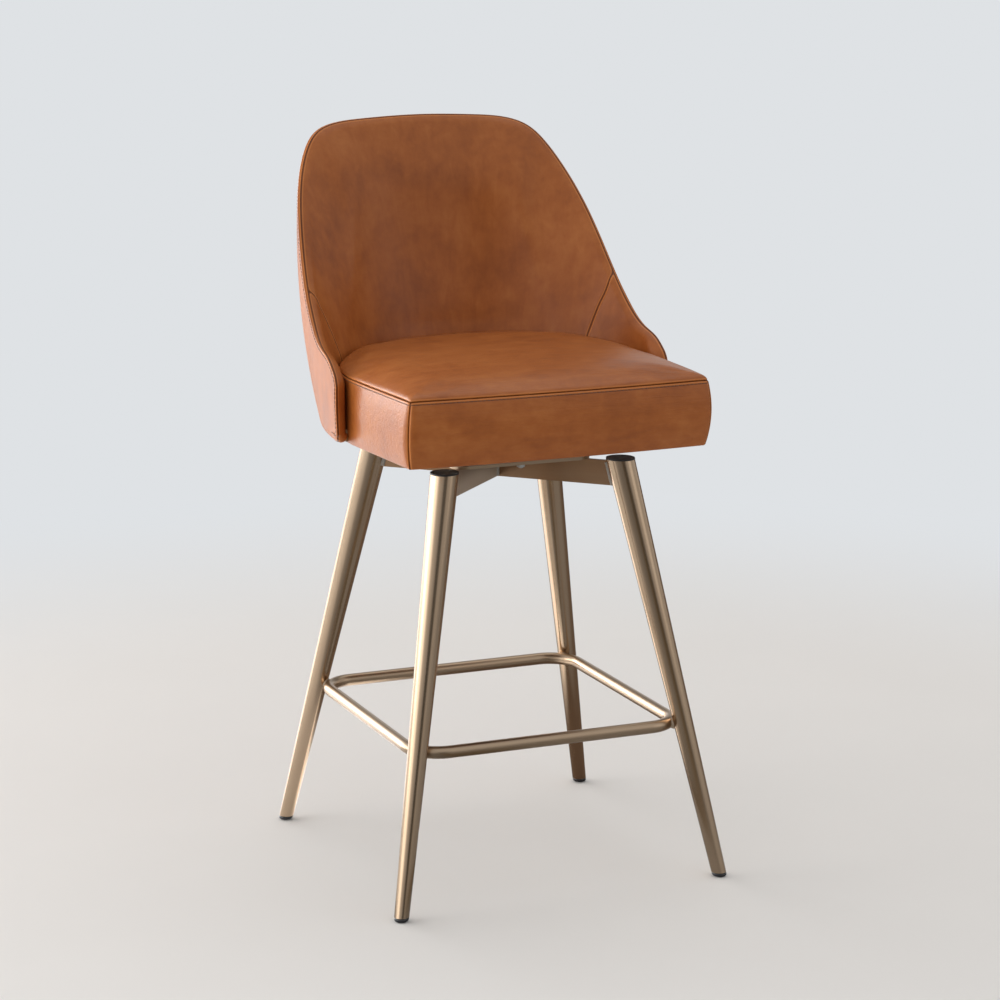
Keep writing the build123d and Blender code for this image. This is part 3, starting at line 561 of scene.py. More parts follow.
def tube_faces(first, rings, sides):
    """Faces of a closed tube whose rings of points follow one another from a first number."""
    last = first + (rings - 1) * sides
    faces = [tuple(first + k for k in reversed(range(sides))), tuple(last + k for k in range(sides))]
    for r in range(rings - 1):
        for k in range(sides):
            a, b = first + r * sides + k, first + r * sides + (k + 1) % sides
            faces.append((a, b, b + sides, a + sides))
    return faces


def pairs_of(chain):
    """Pairs of neighbours along a chain."""
    return list(zip(chain, chain[1:]))


def fill_between(bottom, top, left, right, across=None, up=None):
    """A grid between four edges, as an array. The shares across and up are even unless they are given."""
    bottom, top, left, right = (np.array(edge) for edge in (bottom, top, left, right))
    across = np.linspace(0.0, 1.0, len(bottom)) if across is None else across
    up = np.linspace(0.0, 1.0, len(left)) if up is None else up
    u, v = across[:, None, None], up[None, :, None]
    ruled = (1 - v) * bottom[:, None] + v * top[:, None] + (1 - u) * left[None] + u * right[None]
    corners = (1 - u) * (1 - v) * bottom[0] + u * (1 - v) * bottom[-1]
    return ruled - corners - (1 - u) * v * top[0] - u * v * top[-1]


def coordinates(mesh):
    """A mesh's points as an array."""
    flat = np.empty(len(mesh.vertices) * 3)
    mesh.vertices.foreach_get("co", flat)
    return flat.reshape(-1, 3)


def face_outwards(mesh):
    """Turn all faces to the outside."""
    form = bmesh.new()
    form.from_mesh(mesh)
    bmesh.ops.recalc_face_normals(form, faces=form.faces)
    form.to_mesh(mesh)
    form.free()


def mark_edges(mesh, seams, stitch_lines):
    """Mark pairs of points as seams, and others as sharp edges, which stand for a line of stitches."""
    for name, pairs in (("use_seam", seams), ("use_edge_sharp", stitch_lines)):
        wanted = {tuple(sorted(pair)) for pair in pairs}
        mesh.edges.foreach_set(name, [tuple(sorted(edge.vertices)) in wanted for edge in mesh.edges])


def subdivide(piece):
    """Subdivide once and keep the result as the piece's own mesh."""
    modifier = piece.modifiers.new("smooth", "SUBSURF")
    modifier.levels = 1
    modifier.render_levels = 1
    view = bpy.context.evaluated_depsgraph_get()
    shown = piece.evaluated_get(view)
    mesh = bpy.data.meshes.new_from_object(shown, preserve_all_data_layers=True, depsgraph=view)
    piece.modifiers.clear()
    old = piece.data
    piece.data = mesh
    bpy.data.meshes.remove(old)


def soften_field(mesh, field, held, rounds):
    """Even out a field of movements over a mesh, with held points still."""
    ends = np.array([edge.vertices for edge in mesh.edges])
    count = np.bincount(ends.ravel(), minlength=len(field))[:, None]
    free = 1.0 - np.array(held)[:, None]
    for _ in range(rounds):
        total = np.zeros_like(field)
        np.add.at(total, ends[:, 0], field[ends[:, 1]])
        np.add.at(total, ends[:, 1], field[ends[:, 0]])
        field = (0.5 * field + 0.5 * total / count) * free
    return field


LEATHER_CLOTH = {
    "quality": 6, "mass": 0.3, "tension_stiffness": 20, "compression_stiffness": 20, "shear_stiffness": 10,
    "bending_stiffness": 2.0, "air_damping": 3.0, "vertex_group_mass": "held", "pin_stiffness": 5.0,
    "use_pressure": True,
}


def stuff(piece, held, pressure, limit, rounds, frames=20):
    """Fill a piece like a cushion: cloth under pressure, held at some points, with its movement capped."""
    start = coordinates(piece.data)
    group = piece.vertex_groups.new(name="held")
    for weight in sorted(set(held)):
        group.add([i for i, w in enumerate(held) if w == weight], weight, "REPLACE")
    cloth = piece.modifiers.new("cloth", "CLOTH")
    for name, value in LEATHER_CLOTH.items():
        setattr(cloth.settings, name, value)
    cloth.settings.uniform_pressure_force = pressure
    cloth.settings.effector_weights.gravity = 0.0
    cloth.collision_settings.use_collision = False
    cloth.collision_settings.use_self_collision = False
    cloth.point_cache.frame_start = 1
    cloth.point_cache.frame_end = frames
    scene = bpy.context.scene
    for step in range(1, frames + 1):
        scene.frame_set(step)
    shown = piece.evaluated_get(bpy.context.evaluated_depsgraph_get())
    moved = soften_field(piece.data, coordinates(shown.data) - start, held, rounds)
    piece.modifiers.clear()
    scene.frame_set(1)
    far = np.linalg.norm(moved, axis=1, keepdims=True)
    capped = moved / np.maximum(far, 1e-9) * limit * np.tanh(far / limit)
    piece.data.vertices.foreach_set("co", (start + capped).ravel())
    piece.data.update()


def tree_of(points):
    """A search tree over points."""
    tree = KDTree(len(points))
    for i, point in enumerate(points):
        tree.insert(point, i)
    tree.balance()
    return tree


def press_lines(form, marked, width, depth):
    """Turn marked edges into narrow grooves between slight folds and return the points of their lines."""
    edges = [e for e in form.edges if marked(e)]
    lines = [v.co.copy() for v in {v for e in edges for v in e.verts}]
    bmesh.ops.bevel(form, geom=edges, offset=width, offset_type="OFFSET", segments=2, profile=0.5,
                    affect="EDGES", clamp_overlap=True)
    form.normal_update()
    tree = tree_of(lines)
    for v in form.verts:
        away = tree.find(v.co)[2]
        if away < 0.55 * width:
            v.co -= v.normal * depth
        elif away < 1.6 * width:
            v.co += v.normal * (0.3 * depth)
    return lines


def open_seams(piece, width, depth, furthest=9.0):
    """Press seams and stitch lines into the leather and note each point's millimetres from them."""
    mesh = piece.data
    form = bmesh.new()
    form.from_mesh(mesh)
    seams = press_lines(form, lambda e: e.seam, width, depth)
    stitched = press_lines(form, lambda e: not e.smooth and not e.seam, 0.55 * width, 0.35 * depth)
    for e in form.edges:
        e.smooth = True
    form.to_mesh(mesh)
    form.free()
    mesh.polygons.foreach_set("use_smooth", [True] * len(mesh.polygons))
    # These distances place the leather's painted shade in grooves and the lighter fold band beside seams.
    for name, line in (("seam_gap", seams), ("stitch_gap", stitched)):
        tree = tree_of(line)
        gaps = [min(tree.find(v.co)[2] / MILLIMETRE, furthest) for v in mesh.vertices]
        mesh.attributes.new(name, "FLOAT", "POINT").data.foreach_set("value", gaps)
    mesh.update()


# A stitch's rings: place along the stitch as a share of its length, and width as a share of the radius
STITCH_RINGS = ((-0.5, 0.35), (-0.42, 0.85), (-0.2, 1.0), (0.2, 1.0), (0.42, 0.85), (0.5, 0.35))
STITCH_SIDES = 6


def stitch_row(name, line, piece, material, stitch=0.0040, pitch=0.0054, radius=0.00045):
    """Stitches along a line on a piece."""
    mesh = piece.data
    tree = BVHTree.FromPolygons([v.co for v in mesh.vertices], [p.vertices for p in mesh.polygons])
    found = [tree.find_nearest(Vector(p)) for p in line]
    track = np.array([tuple(spot + normal * (0.35 * radius)) for spot, normal, _, _ in found])
    total = np.concatenate([[0.0], np.cumsum(np.linalg.norm(np.diff(track, axis=0), axis=1))])

    def at(distance):
        return Vector([np.interp(distance, total, track[:, k]) for k in range(3)])

    points, faces = [], []
    count = int(total[-1] / pitch)
    for i in range(count):
        middle = (i + 0.5) * total[-1] / count
        start, end = at(middle - stitch / 2), at(middle + stitch / 2)
        centre = (start + end) / 2
        along = (end - start).normalized()
        _, normal, _, _ = tree.find_nearest(centre)
        across = along.cross(normal).normalized()
        up = across.cross(along)
        faces += tube_faces(len(points), len(STITCH_RINGS), STITCH_SIDES)
        for share, wide in STITCH_RINGS:
            spot = centre + along * (share * stitch) + up * (radius * 0.3 * (1 - (2 * share) ** 2))
            points += circle(spot, across * (radius * wide), up * (radius * wide), STITCH_SIDES)
    place_piece(new_piece(name, points, faces, material), "seat", "tan_leather")


# ---------------------------------------------------------------- seat cushion

# The strip between a seam and its stitches, the run over which the wings let go of the cushion's sides, how
# close counts as touching, and the width and depth of a seam's groove
SEAM_STRIP = 0.0034
WING_BLEND = 0.045
TOUCH = 0.0002
SEAT_GROOVE = (0.0007, 0.0009)


# The round rear's right half is drawn with this many points, and the cushion's side ends at one of them
REAR_POINTS = 120
REAR_MARK = 58
SMALLEST_CORNER = 0.002


def rounded_corner(before, corner, after, radius, steps=10):
    """Points of an arc that rounds a corner."""
    a = (np.subtract(before, corner)) / np.linalg.norm(np.subtract(before, corner))
    b = (np.subtract(after, corner)) / np.linalg.norm(np.subtract(after, corner))
    half = math.acos(float(np.dot(a, b))) / 2
    middle = (a + b) / np.linalg.norm(a + b)
    centre = np.array(corner) + middle * radius / math.sin(half)
    start = np.array(corner) + a * radius / math.tan(half) - centre
    side = math.copysign(1.0, a[0] * b[1] - a[1] * b[0])
    points = []
    for i in range(steps + 1):
        angle = -side * (math.pi - 2 * half) * i / steps
        c, s = math.cos(angle), math.sin(angle)
        points.append(centre + np.array([c * start[0] - s * start[1], s * start[0] + c * start[1]]))
    return points


def cushion_sides(sizes, inset=0.0):
    """The cushion's outline as four sides, each a function of a share from 0 to 1.

    The sides meet at the middle of the two front corners and on the round rear.
    """
    half = sizes.width / 2 - inset
    front_half = (sizes.width - sizes.front_taper) / 2 - inset
    front = CUSHION_LOW.y + inset + sizes.front_bow
    rear = CUSHION_HIGH.y - inset
    radius = max(sizes.corner_radius - inset, SMALLEST_CORNER)
    bow = [(x * front_half, front - sizes.front_bow * (1 - x * x)) for x in np.linspace(0.0, 0.9, 40)]
    corner = rounded_corner(bow[-1], (front_half, front), (half, sizes.widest), radius)
    angles = np.linspace(0.0, math.pi / 2, REAR_POINTS)
    round_rear = [(half * math.cos(t), sizes.widest + (rear - sizes.widest) * math.sin(t)) for t in angles]
    right = np.array(bow + corner + round_rear)
    place = np.concatenate([[0.0], np.cumsum(np.linalg.norm(np.diff(right, axis=0), axis=1))])
    corner_mark = place[len(bow) + len(corner) // 2]
    rear_mark = place[len(bow) + len(corner) + REAR_MARK]

    def at(distance):
        """A point by its distance round the right half, negative on the left."""
        x, y = (np.interp(abs(distance), place, right[:, k]) for k in (0, 1))
        return np.array([math.copysign(x, distance), y])

    def front_side(share):
        return at((2 * share - 1) * corner_mark)

    def right_side(share):
        return at(blend(corner_mark, rear_mark, share))

    def rear_side(share):
        distance = (2 * share - 1) * (place[-1] - rear_mark)
        return at(math.copysign(place[-1] - abs(distance), distance))

    def left_side(share):
        return at(-blend(corner_mark, rear_mark, share))

    return front_side, right_side, rear_side, left_side


def cushion_grid(sizes, inset=0.0):
    """Points of a grid that fills the cushion's outline, as an array (n + 1, n + 1, 2)."""
    even = np.linspace(0.0, 1.0, sizes.cells + 1)
    spread = blend(even, (1 - np.cos(math.pi * even)) / 2, 0.7)
    front, right, rear, left = (np.array([side(s) for s in spread]) for side in cushion_sides(sizes, inset))
    return fill_between(front, rear, left, right, spread, spread), spread


def rim_of_grid(n):
    """Grid places round the edge: along the front, up the right side, back along the rear, down the left."""
    ring = [(i, 0) for i in range(n)] + [(n, j) for j in range(n)]
    return ring + [(i, n) for i in range(n, 0, -1)] + [(0, j) for j in range(n, 0, -1)]


def edge_roll(share, power=1.9):
    """Height of a soft quarter round, from 0 at the edge to 1."""
    return (1 - (1 - min(share, 1.0)) ** power) ** (1 / power)


def forward_share(sizes, y):
    """How far a place is from the wings to the cushion's front, as a smooth share."""
    return smooth_step((sizes.wing_line - y) / (sizes.wing_line - CUSHION_LOW.y))


def top_points(sizes, grid, spread):
    """Points of the crowned top panel, which rolls down to the seam all round."""
    seam = CUSHION_HIGH.z - sizes.crown
    dome = [1 - abs(2 * s - 1) ** sizes.crown_power for s in spread]
    rolls = [[edge_roll(min(s, 1 - s) * size / sizes.crown_roll) for s in spread]
             for size in (sizes.width, CUSHION_HIGH.y - CUSHION_LOW.y)]
    lift = sizes.crown - sizes.crown_dome
    points = []
    for i, column in enumerate(grid):
        for j, (x, y) in enumerate(column):
            height = lift * rolls[0][i] * rolls[1][j] + sizes.crown_dome * dome[i] * dome[j]
            points.append((x, y - sizes.top_reach * forward_share(sizes, y), seam + height))
    return points


def band_loops(sizes, outline):
    """Loops of the swollen side band, from just under the seam down and round the hem."""
    before, after = np.roll(outline, 1, axis=0), np.roll(outline, -1, axis=0)
    ways = np.stack([(after - before)[:, 1], (before - after)[:, 0]], axis=1)
    ways /= np.linalg.norm(ways, axis=1, keepdims=True)
    free = np.array([[smooth_step((sizes.wing_line - y) / WING_BLEND)] for _, y in outline])
    reach = np.array([[forward_share(sizes, y)] for _, y in outline])
    seam = CUSHION_HIGH.z - sizes.crown
    wall = seam - SEAT_BOTTOM
    rows = [(share, 0.0) for share in (SEAM_STRIP / wall, 0.10, *np.linspace(0.18, 0.90, 9))]
    for angle in range(0, 181, 30):
        turn = math.radians(angle)
        drop = sizes.hem_radius * (math.sin(turn) - 0.5)
        rows.append((1.0 + drop / wall, sizes.hem_radius * (1 - math.cos(turn))))
    loops = []
    for share, inset in rows:
        fallen = min(share, 1.0)
        swell = sizes.swell * math.sin(math.pi * fallen) ** 0.8
        forward = blend(sizes.top_reach, sizes.foot_reach, fallen)
        flat = outline + ways * (free * swell - inset) - reach * (0.0, forward)
        loops.append([(*spot, seam - wall * share) for spot in flat])
    return loops


def grid_numbers(first, n):
    """Point numbers of a grid whose points follow one another from a first number."""
    return {(i, j): first + i * (n + 1) + j for i in range(n + 1) for j in range(n + 1)}


def make_cushion(sizes, material):
    """The cushion before its stuffing, as one closed mesh, and its loops of points from the seam down."""
    n = sizes.cells
    grid, spread = cushion_grid(sizes)
    inside, _ = cushion_grid(sizes, 2 * sizes.hem_radius + 0.002)
    ring = rim_of_grid(n)
    points = top_points(sizes, grid, spread)
    top = grid_numbers(0, n)
    loops = [[top[place] for place in ring]]
    for loop in band_loops(sizes, np.array([grid[place] for place in ring])):
        loops.append(list(range(len(points), len(points) + len(loop))))
        points += loop
    low = grid_numbers(len(points), n)
    points += [(*spot, SEAT_BOTTOM) for column in inside for spot in column]
    loops.append([low[place] for place in ring])
    faces = []
    for i in range(n):
        for j in range(n):
            faces.append((top[i, j], top[i + 1, j], top[i + 1, j + 1], top[i, j + 1]))
            faces.append((low[i, j], low[i, j + 1], low[i + 1, j + 1], low[i + 1, j]))
    for upper, lower in zip(loops, loops[1:]):
        for k in range(len(ring)):
            after = (k + 1) % len(ring)
            faces.append((upper[after], upper[k], lower[k], lower[after]))
    piece = new_piece("seat_cushion", points, faces, material)
    face_outwards(piece.data)
    return piece, loops


def build_seat(sizes, colours):
    """The stuffed cushion with its seams and topstitching."""
    piece, loops = make_cushion(sizes, finish_of("seat_leather", colours))
    start = coordinates(piece.data)
    held = [0.0] * len(start)
    for i, (_, y, z) in enumerate(start):
        if z < SEAT_BOTTOM + TOUCH:
            held[i] = 1.0
        elif z < CUSHION_HIGH.z - sizes.crown + TOUCH:
            held[i] = round(smooth_step((y - sizes.wing_line + WING_BLEND) / WING_BLEND), 1)
    for k in loops[0]:
        held[k] = 1.0
    stuff(piece, held, sizes.pressure, sizes.swell_limit, rounds=6)
    top_seam, band_line = (loop + loop[:1] for loop in loops[:2])
    seams = pairs_of(top_seam)
    for column in (0, sizes.cells):
        seams += pairs_of([loop[column] for loop in loops[:-2]])
    mark_edges(piece.data, seams, pairs_of(band_line))
    line = [Vector(spot) for spot in coordinates(piece.data)[band_line]]
    subdivide(piece)
    open_seams(piece, *SEAT_GROOVE)
    place_piece(piece, "seat", "tan_leather", "seat_cover", "seat_foam")
    stitch_row("seat_band_stitches", line, piece, finish_of("thread", colours))


# ---------------------------------------------------------------- wrap-around back

# The rim as directions in degrees from the right side and heights as shares of the back's height, and the
# seam between centre panel and wing as heights and directions
RIM_LINE = (
    (-14, 0.1579), (-7, 0.2184), (0, 0.2711), (8, 0.2974), (14, 0.3289), (20, 0.3816), (26, 0.45),
    (38.8, 0.6526), (49.5, 0.8237), (54, 0.8921), (58, 0.9421), (63, 0.9737), (73, 0.9921), (90, 1.0),
)
RIM_START_SLOPE = 0.0035
WING_SEAM = (
    (0.0, 34.0), (0.25, 30.7), (0.30, 29.5), (0.347, 28.3), (0.39, 27.2), (0.424, 26.6), (0.446, 26.8),
)

# Height, as a share of the back's, at which distances round the half are measured
MEASURED_AT = 0.15

# The roll round the edge has this many steps, and the seam runs along one of them
ROLL_STEPS = 10
SEAM_STEP = 3
SEAM_OFFSET = 0.0045
WING_SEAM_OFFSET = 0.0018

# Distances round the half, from the wing's front edge, over which the padding changes
ROLL_RUN = 0.045
THIN_RUN = 0.05
RISE_RUN = 0.22
FRONT_RISE = 0.05
SEAM_RUN = (0.02, 0.12)
SEAM_BLEND = 0.045

# Clearance round the cushion, height above it from which the padding swells, and a seam's groove
CUSHION_GAP = 0.0003
FREE_ABOVE = 0.012
BACK_GROOVE = (0.0008, 0.0011)


def natural_curve(xs, ys, start_slope, end_slope):
    """A smooth curve through points, with given slopes at its ends."""
    xs, ys = np.array(xs, float), np.array(ys, float)
    h = np.diff(xs)
    count = len(xs)
    a, b = np.zeros((count, count)), np.zeros(count)
    a[0, 0:2] = 2 * h[0], h[0]
    b[0] = 6 * ((ys[1] - ys[0]) / h[0] - start_slope)
    a[-1, -2:] = h[-1], 2 * h[-1]
    b[-1] = 6 * (end_slope - (ys[-1] - ys[-2]) / h[-1])
    for i in range(1, count - 1):
        a[i, i - 1:i + 2] = h[i - 1], 2 * (h[i - 1] + h[i]), h[i]
        b[i] = 6 * ((ys[i + 1] - ys[i]) / h[i] - (ys[i] - ys[i - 1]) / h[i - 1])
    m = np.linalg.solve(a, b)

    def at(x):
        i = int(np.clip(np.searchsorted(xs, x) - 1, 0, count - 2))
        p, q = xs[i + 1] - x, x - xs[i]
        bend = m[i] * p ** 3 / (6 * h[i]) + m[i + 1] * q ** 3 / (6 * h[i])
        line = (ys[i] / h[i] - m[i] * h[i] / 6) * p + (ys[i + 1] / h[i] - m[i + 1] * h[i] / 6) * q
        return bend + line

    return at


class BackForm:
    """The back's outer and inner faces as functions of a distance round the half and a height."""

    def __init__(self, sizes, cushion):
        self.sizes = sizes
        self.cushion = cushion
        heights = [share * sizes.height for _, share in RIM_LINE]
        self.rim = natural_curve([direction for direction, _ in RIM_LINE], heights, RIM_START_SLOPE, 0.0)
        reference = MEASURED_AT * sizes.height
        directions = np.linspace(self.front_direction(reference, True), 90.0, 400)
        spots = np.array([self.spot(d, reference, 0.0)[:2] for d in directions])
        run = np.concatenate([[0.0], np.cumsum(np.linalg.norm(np.diff(spots, axis=0), axis=1))])
        self.half_length = run[-1]
        self.shares = run / run[-1]
        self.turns = (directions - directions[0]) / (90.0 - directions[0])
        self.rim_places = np.linspace(0.0, self.half_length, 241)
        self.rim_heights = [self.raw_rim_height(a) for a in self.rim_places]

    def outer(self, height):
        """The outer section at a height: width, widest place, rear and squareness."""
        s = self.sizes
        share = height / s.height
        belly = 4 * share * (1 - share)
        return (
            blend(s.width_bottom, s.width_top, share) + s.width_belly * belly,
            blend(s.widest_bottom, s.widest_top, share),
            blend(s.rear_bottom, s.rear_top, share) + s.rear_belly * belly,
            blend(s.squareness_bottom, s.squareness_top, share),
        )

    def inner(self, height):
        """The inner section at a height. It hugs the cushion below and leans out above it."""
        s = self.sizes
        share = max(0.0, (height - s.lean_start) / (s.height - s.lean_start))
        belly = 4 * share * (1 - share)
        return (
            blend(self.cushion.width + 2 * CUSHION_GAP, s.inner_width_top, share),
            blend(self.cushion.widest, s.inner_widest_top, share),
            blend(CUSHION_HIGH.y + CUSHION_GAP, s.inner_rear_top, share) + s.inner_rear_belly * belly,
            blend(2.0, s.inner_squareness_top, share),
        )

    def reach(self, size, direction):
        """Distance from the axis to a section's edge in a direction in degrees."""
        width, widest, rear, squareness = size
        c, s = abs(math.cos(math.radians(direction))), math.sin(math.radians(direction))
        low, high = 0.0, 2 * width
        for _ in range(34):
            middle = (low + high) / 2
            depth = max(0.0, middle * s - widest) / (rear - widest)
            if (2 * middle * c / width) ** squareness + depth ** squareness < 1:
                low = middle
            else:
                high = middle
        return low

    def front_direction(self, height, outside):
        """Direction of the wing's front edge at a height, closer with each round."""
        size = self.outer(height) if outside else self.inner(height)
        direction = -7.0
        for _ in range(4):
            x = self.reach(size, direction) * math.cos(math.radians(direction))
            direction = math.degrees(math.atan2(self.sizes.wing_tip, x))
        return direction

    def front(self, height, share):
        """Direction of the wing's front edge at a height and a share through the wall."""
        outside = self.front_direction(height, True)
        return blend(outside, self.front_direction(height, False), share) if share else outside

    def spot(self, direction, height, share):
        """A point between the outer face (share 0) and the inner face (share 1)."""
        radius = self.reach(self.outer(height), direction)
        if share:
            radius = blend(radius, self.reach(self.inner(height), direction), share)
        angle = math.radians(direction)
        return np.array([radius * math.cos(angle), radius * math.sin(angle), SEAT_BOTTOM + height])

    def direction(self, along, height, share):
        """Direction at a distance round the half from the wing's front edge."""
        turn = np.interp(along / self.half_length, self.shares, self.turns)
        return blend(self.front(height, share), 90.0, turn)

    def along(self, direction, height, share):
        """Distance round the half from the wing's front edge to a direction."""
        front = self.front(height, share)
        turn = (direction - front) / (90.0 - front)
        return self.half_length * float(np.interp(turn, self.turns, self.shares))

    def raw_rim_height(self, along):
        """Height of the rim's seam before the wing's upper corner is rounded."""
        height = 0.25 * self.sizes.height
        for _ in range(6):
            height = self.rim(self.direction(along, height, 0.0))
        return height

    def thickness(self, along, height):
        """The wall's thickness at a place, and the part of it that the roll round the edge fills."""
        outside, inside = (self.point(along, height, share) for share in (0.0, 1.0))
        wall = float(np.linalg.norm(outside - inside))
        return wall, blend(wall, min(self.sizes.rim_thickness, wall), smooth_step(along / THIN_RUN))

    def padding(self, along, height, fall, roll):
        """Share of the wall filled at a distance in from the edge: a quick roll, then a slow rise to full."""
        wall, edge = self.thickness(along, height)
        rise = blend(FRONT_RISE, self.sizes.padding_rise, smooth_step(along / RISE_RUN))
        left = 1.0 - min(max(fall, 0.0) / rise, 1.0)
        return (edge * roll + (wall - edge) * (1.0 - left * left)) / wall

    def inset(self, along, height, step=0.002):
        """Roughly how far a place lies in from the edge."""
        slope = (self.rim_height(along + step) - self.rim_height(max(along - step, 0.0))) / (2 * step)
        return min((self.rim_height(along) - height) / math.hypot(1.0, slope), along)

    def rim_height(self, along):
        """Height of the rim's seam at a distance round the half, with the wing's upper corner rounded."""
        height = float(np.interp(along, self.rim_places, self.rim_heights))
        radius = self.sizes.tip_radius
        if along < radius:
            height -= radius - math.sqrt(radius ** 2 - (radius - along) ** 2)
        return height

    def point(self, along, height, share):
        """A point by distance round the half, height and share through the wall."""
        return self.spot(self.direction(along, height, share), height, share)


def even_spread(count):
    """Shares from 0 to 1 that start closer together."""
    steps = np.linspace(0.0, 1.0, count + 1)
    return 0.75 * steps + 0.25 * steps ** 2


def bottom_points(form):
    """The lower edge in the unrolled plane, from the wing's rounded front corner to the rear's middle."""
    corner = form.sizes.corner_radius
    first = corner * (1 - math.cos(math.pi / 4))
    points = []
    for a in first + (form.half_length - first) * even_spread(form.sizes.columns):
        rounding = corner - math.sqrt(max(corner ** 2 - (corner - a) ** 2, 0.0))
        points.append((a, rounding if a < corner else 0.0))
    return points


def front_points(form, top, arc=6):
    """The wing's front edge in the unrolled plane, from its lower corner up to a height."""
    corner = form.sizes.corner_radius
    angles = np.linspace(math.pi / 4, math.pi / 2, arc + 1)
    points = [(corner * (1 - math.sin(t)), corner * (1 - math.cos(t))) for t in angles]
    return points + [(0.0, h) for h in np.linspace(corner, top, form.sizes.rows - arc + 1)[1:]]


def rim_points(form, wing):
    """The rim in the unrolled plane, from the wing's tip to the middle, with one point at the wing's seam."""
    tip = form.sizes.tip_radius * (1 - np.cos(np.linspace(0, math.pi / 2, 8)))
    rest = np.linspace(tip[-1], form.half_length, form.sizes.columns - len(tip) + 2)[1:]
    along = np.concatenate([tip, rest])
    nearest = int(np.argmin(abs(along - wing)))
    along[nearest] = wing
    return [(a, form.rim_height(a)) for a in along], nearest


def inward_ways(points):
    """Unit ways to the inside of the half, from the points of its edge in order."""
    ways = []
    for before, after in zip([points[0]] + points[:-1], points[1:] + [points[-1]]):
        a, h = after[0] - before[0], after[1] - before[1]
        size = math.hypot(a, h)
        ways.append((h / size, -a / size))
    ways[0], ways[-1] = (0.0, 1.0), (0.0, -1.0)
    return ways


def wing_warp(form, plane, wing, spread=24):
    """Move the inner grid's columns so that one of them follows the wing's seam."""
    shares, directions = zip(*WING_SEAM)
    columns, rows = plane.shape[0] - 1, plane.shape[1] - 1
    last = min(columns, wing + spread)
    for j in range(rows + 1):
        height = plane[wing, j, 1]
        direction = np.interp(height / form.sizes.height, shares, directions)
        shift = form.along(direction, height, 1.0) - plane[wing, j, 0]
        shift *= 1 - smooth_step((j / rows - 0.8) / 0.2)
        for i in range(1, last):
            ease = smooth_step(i / wing) if i <= wing else smooth_step((last - i) / (last - wing))
            plane[i, j, 0] += shift * ease


def roll_places(form, along, height, way, near_seam):
    """Places round the roll at a point of the edge, from the outer face to the inner: along, height, share.

    Below, the roll is the hem. Beside the wing's seam it runs straight down instead of square to the rim.
    """
    s = form.sizes
    below = max(0.0, way[1])
    depth = blend(blend(s.front_roll, s.rim_roll, smooth_step(along / ROLL_RUN)), s.hem_radius, below)
    skew = way[0] * (1 - near_seam), way[1] - (1 + way[1]) * near_seam
    stretch = depth / (skew[0] * way[0] + skew[1] * way[1])
    run_in = smooth_step((along - SEAM_RUN[0]) / (SEAM_RUN[1] - SEAM_RUN[0]))
    offset = blend(WING_SEAM_OFFSET, SEAM_OFFSET, run_in)
    seam_turn = 2 / math.pi * math.asin(offset / form.thickness(along, height)[1])
    squeeze = blend(math.log(seam_turn) / math.log(SEAM_STEP / ROLL_STEPS), 1.0, below)
    places = []
    for step in range(ROLL_STEPS + 1):
        t = (step / ROLL_STEPS) ** squeeze
        fall = blend(1 - math.cos(math.pi / 2 * t), 1 - math.sin(math.pi * t), below)
        spot = along + skew[0] * stretch * fall, max(height + skew[1] * stretch * fall, 0.0)
        filled = form.padding(*spot, fall * depth, math.sin(math.pi / 2 * t)) if below < 1 else 0.0
        places.append((*spot, min(blend(filled, (1 - math.cos(math.pi * t)) / 2, below), 1.0)))
    return places


def back_half(form):
    """The right half as three grids of points, outer, inner and roll, and the wing seam's column."""
    s = form.sizes
    first = s.columns + s.rows
    seam_share, seam_direction = WING_SEAM[-1]
    seam_top = form.along(seam_direction, seam_share * s.height, 0.0)
    rim, wing = rim_points(form, seam_top)
    edge = bottom_points(form)[:0:-1] + front_points(form, rim[0][1])[:-1] + rim
    ways = inward_ways(edge)
    lines = []
    for k, ((a, h), way) in enumerate(zip(edge, ways)):
        near_seam = smooth_step(1 - abs(a - seam_top) / SEAM_BLEND) if k >= first else 0.0
        lines.append(roll_places(form, a, h, way, near_seam))
    roll = np.array([[form.point(*place) for place in line] for line in lines])
    hem = np.array([line[0][:2] for line in lines]) + SEAM_STRIP * np.array(ways)
    ends = np.array([line[-1][:2] for line in lines])

    def plane_inside(loop):
        low, side, high = loop[:s.columns + 1][::-1], loop[s.columns:first + 1], loop[first:]
        return fill_between(low, high, side, np.linspace(low[-1], high[-1], s.rows + 1))

    outer_plane, inner_plane = plane_inside(hem), plane_inside(ends)
    wing_warp(form, inner_plane, wing)
    outer = [[form.point(a, h, 0.0) for a, h in column] for column in outer_plane]
    inner = [[form.point(a, h, form.padding(a, h, form.inset(a, h), 1.0)) for a, h in column]
             for column in inner_plane]
    return np.array(outer), np.array(inner), roll, wing


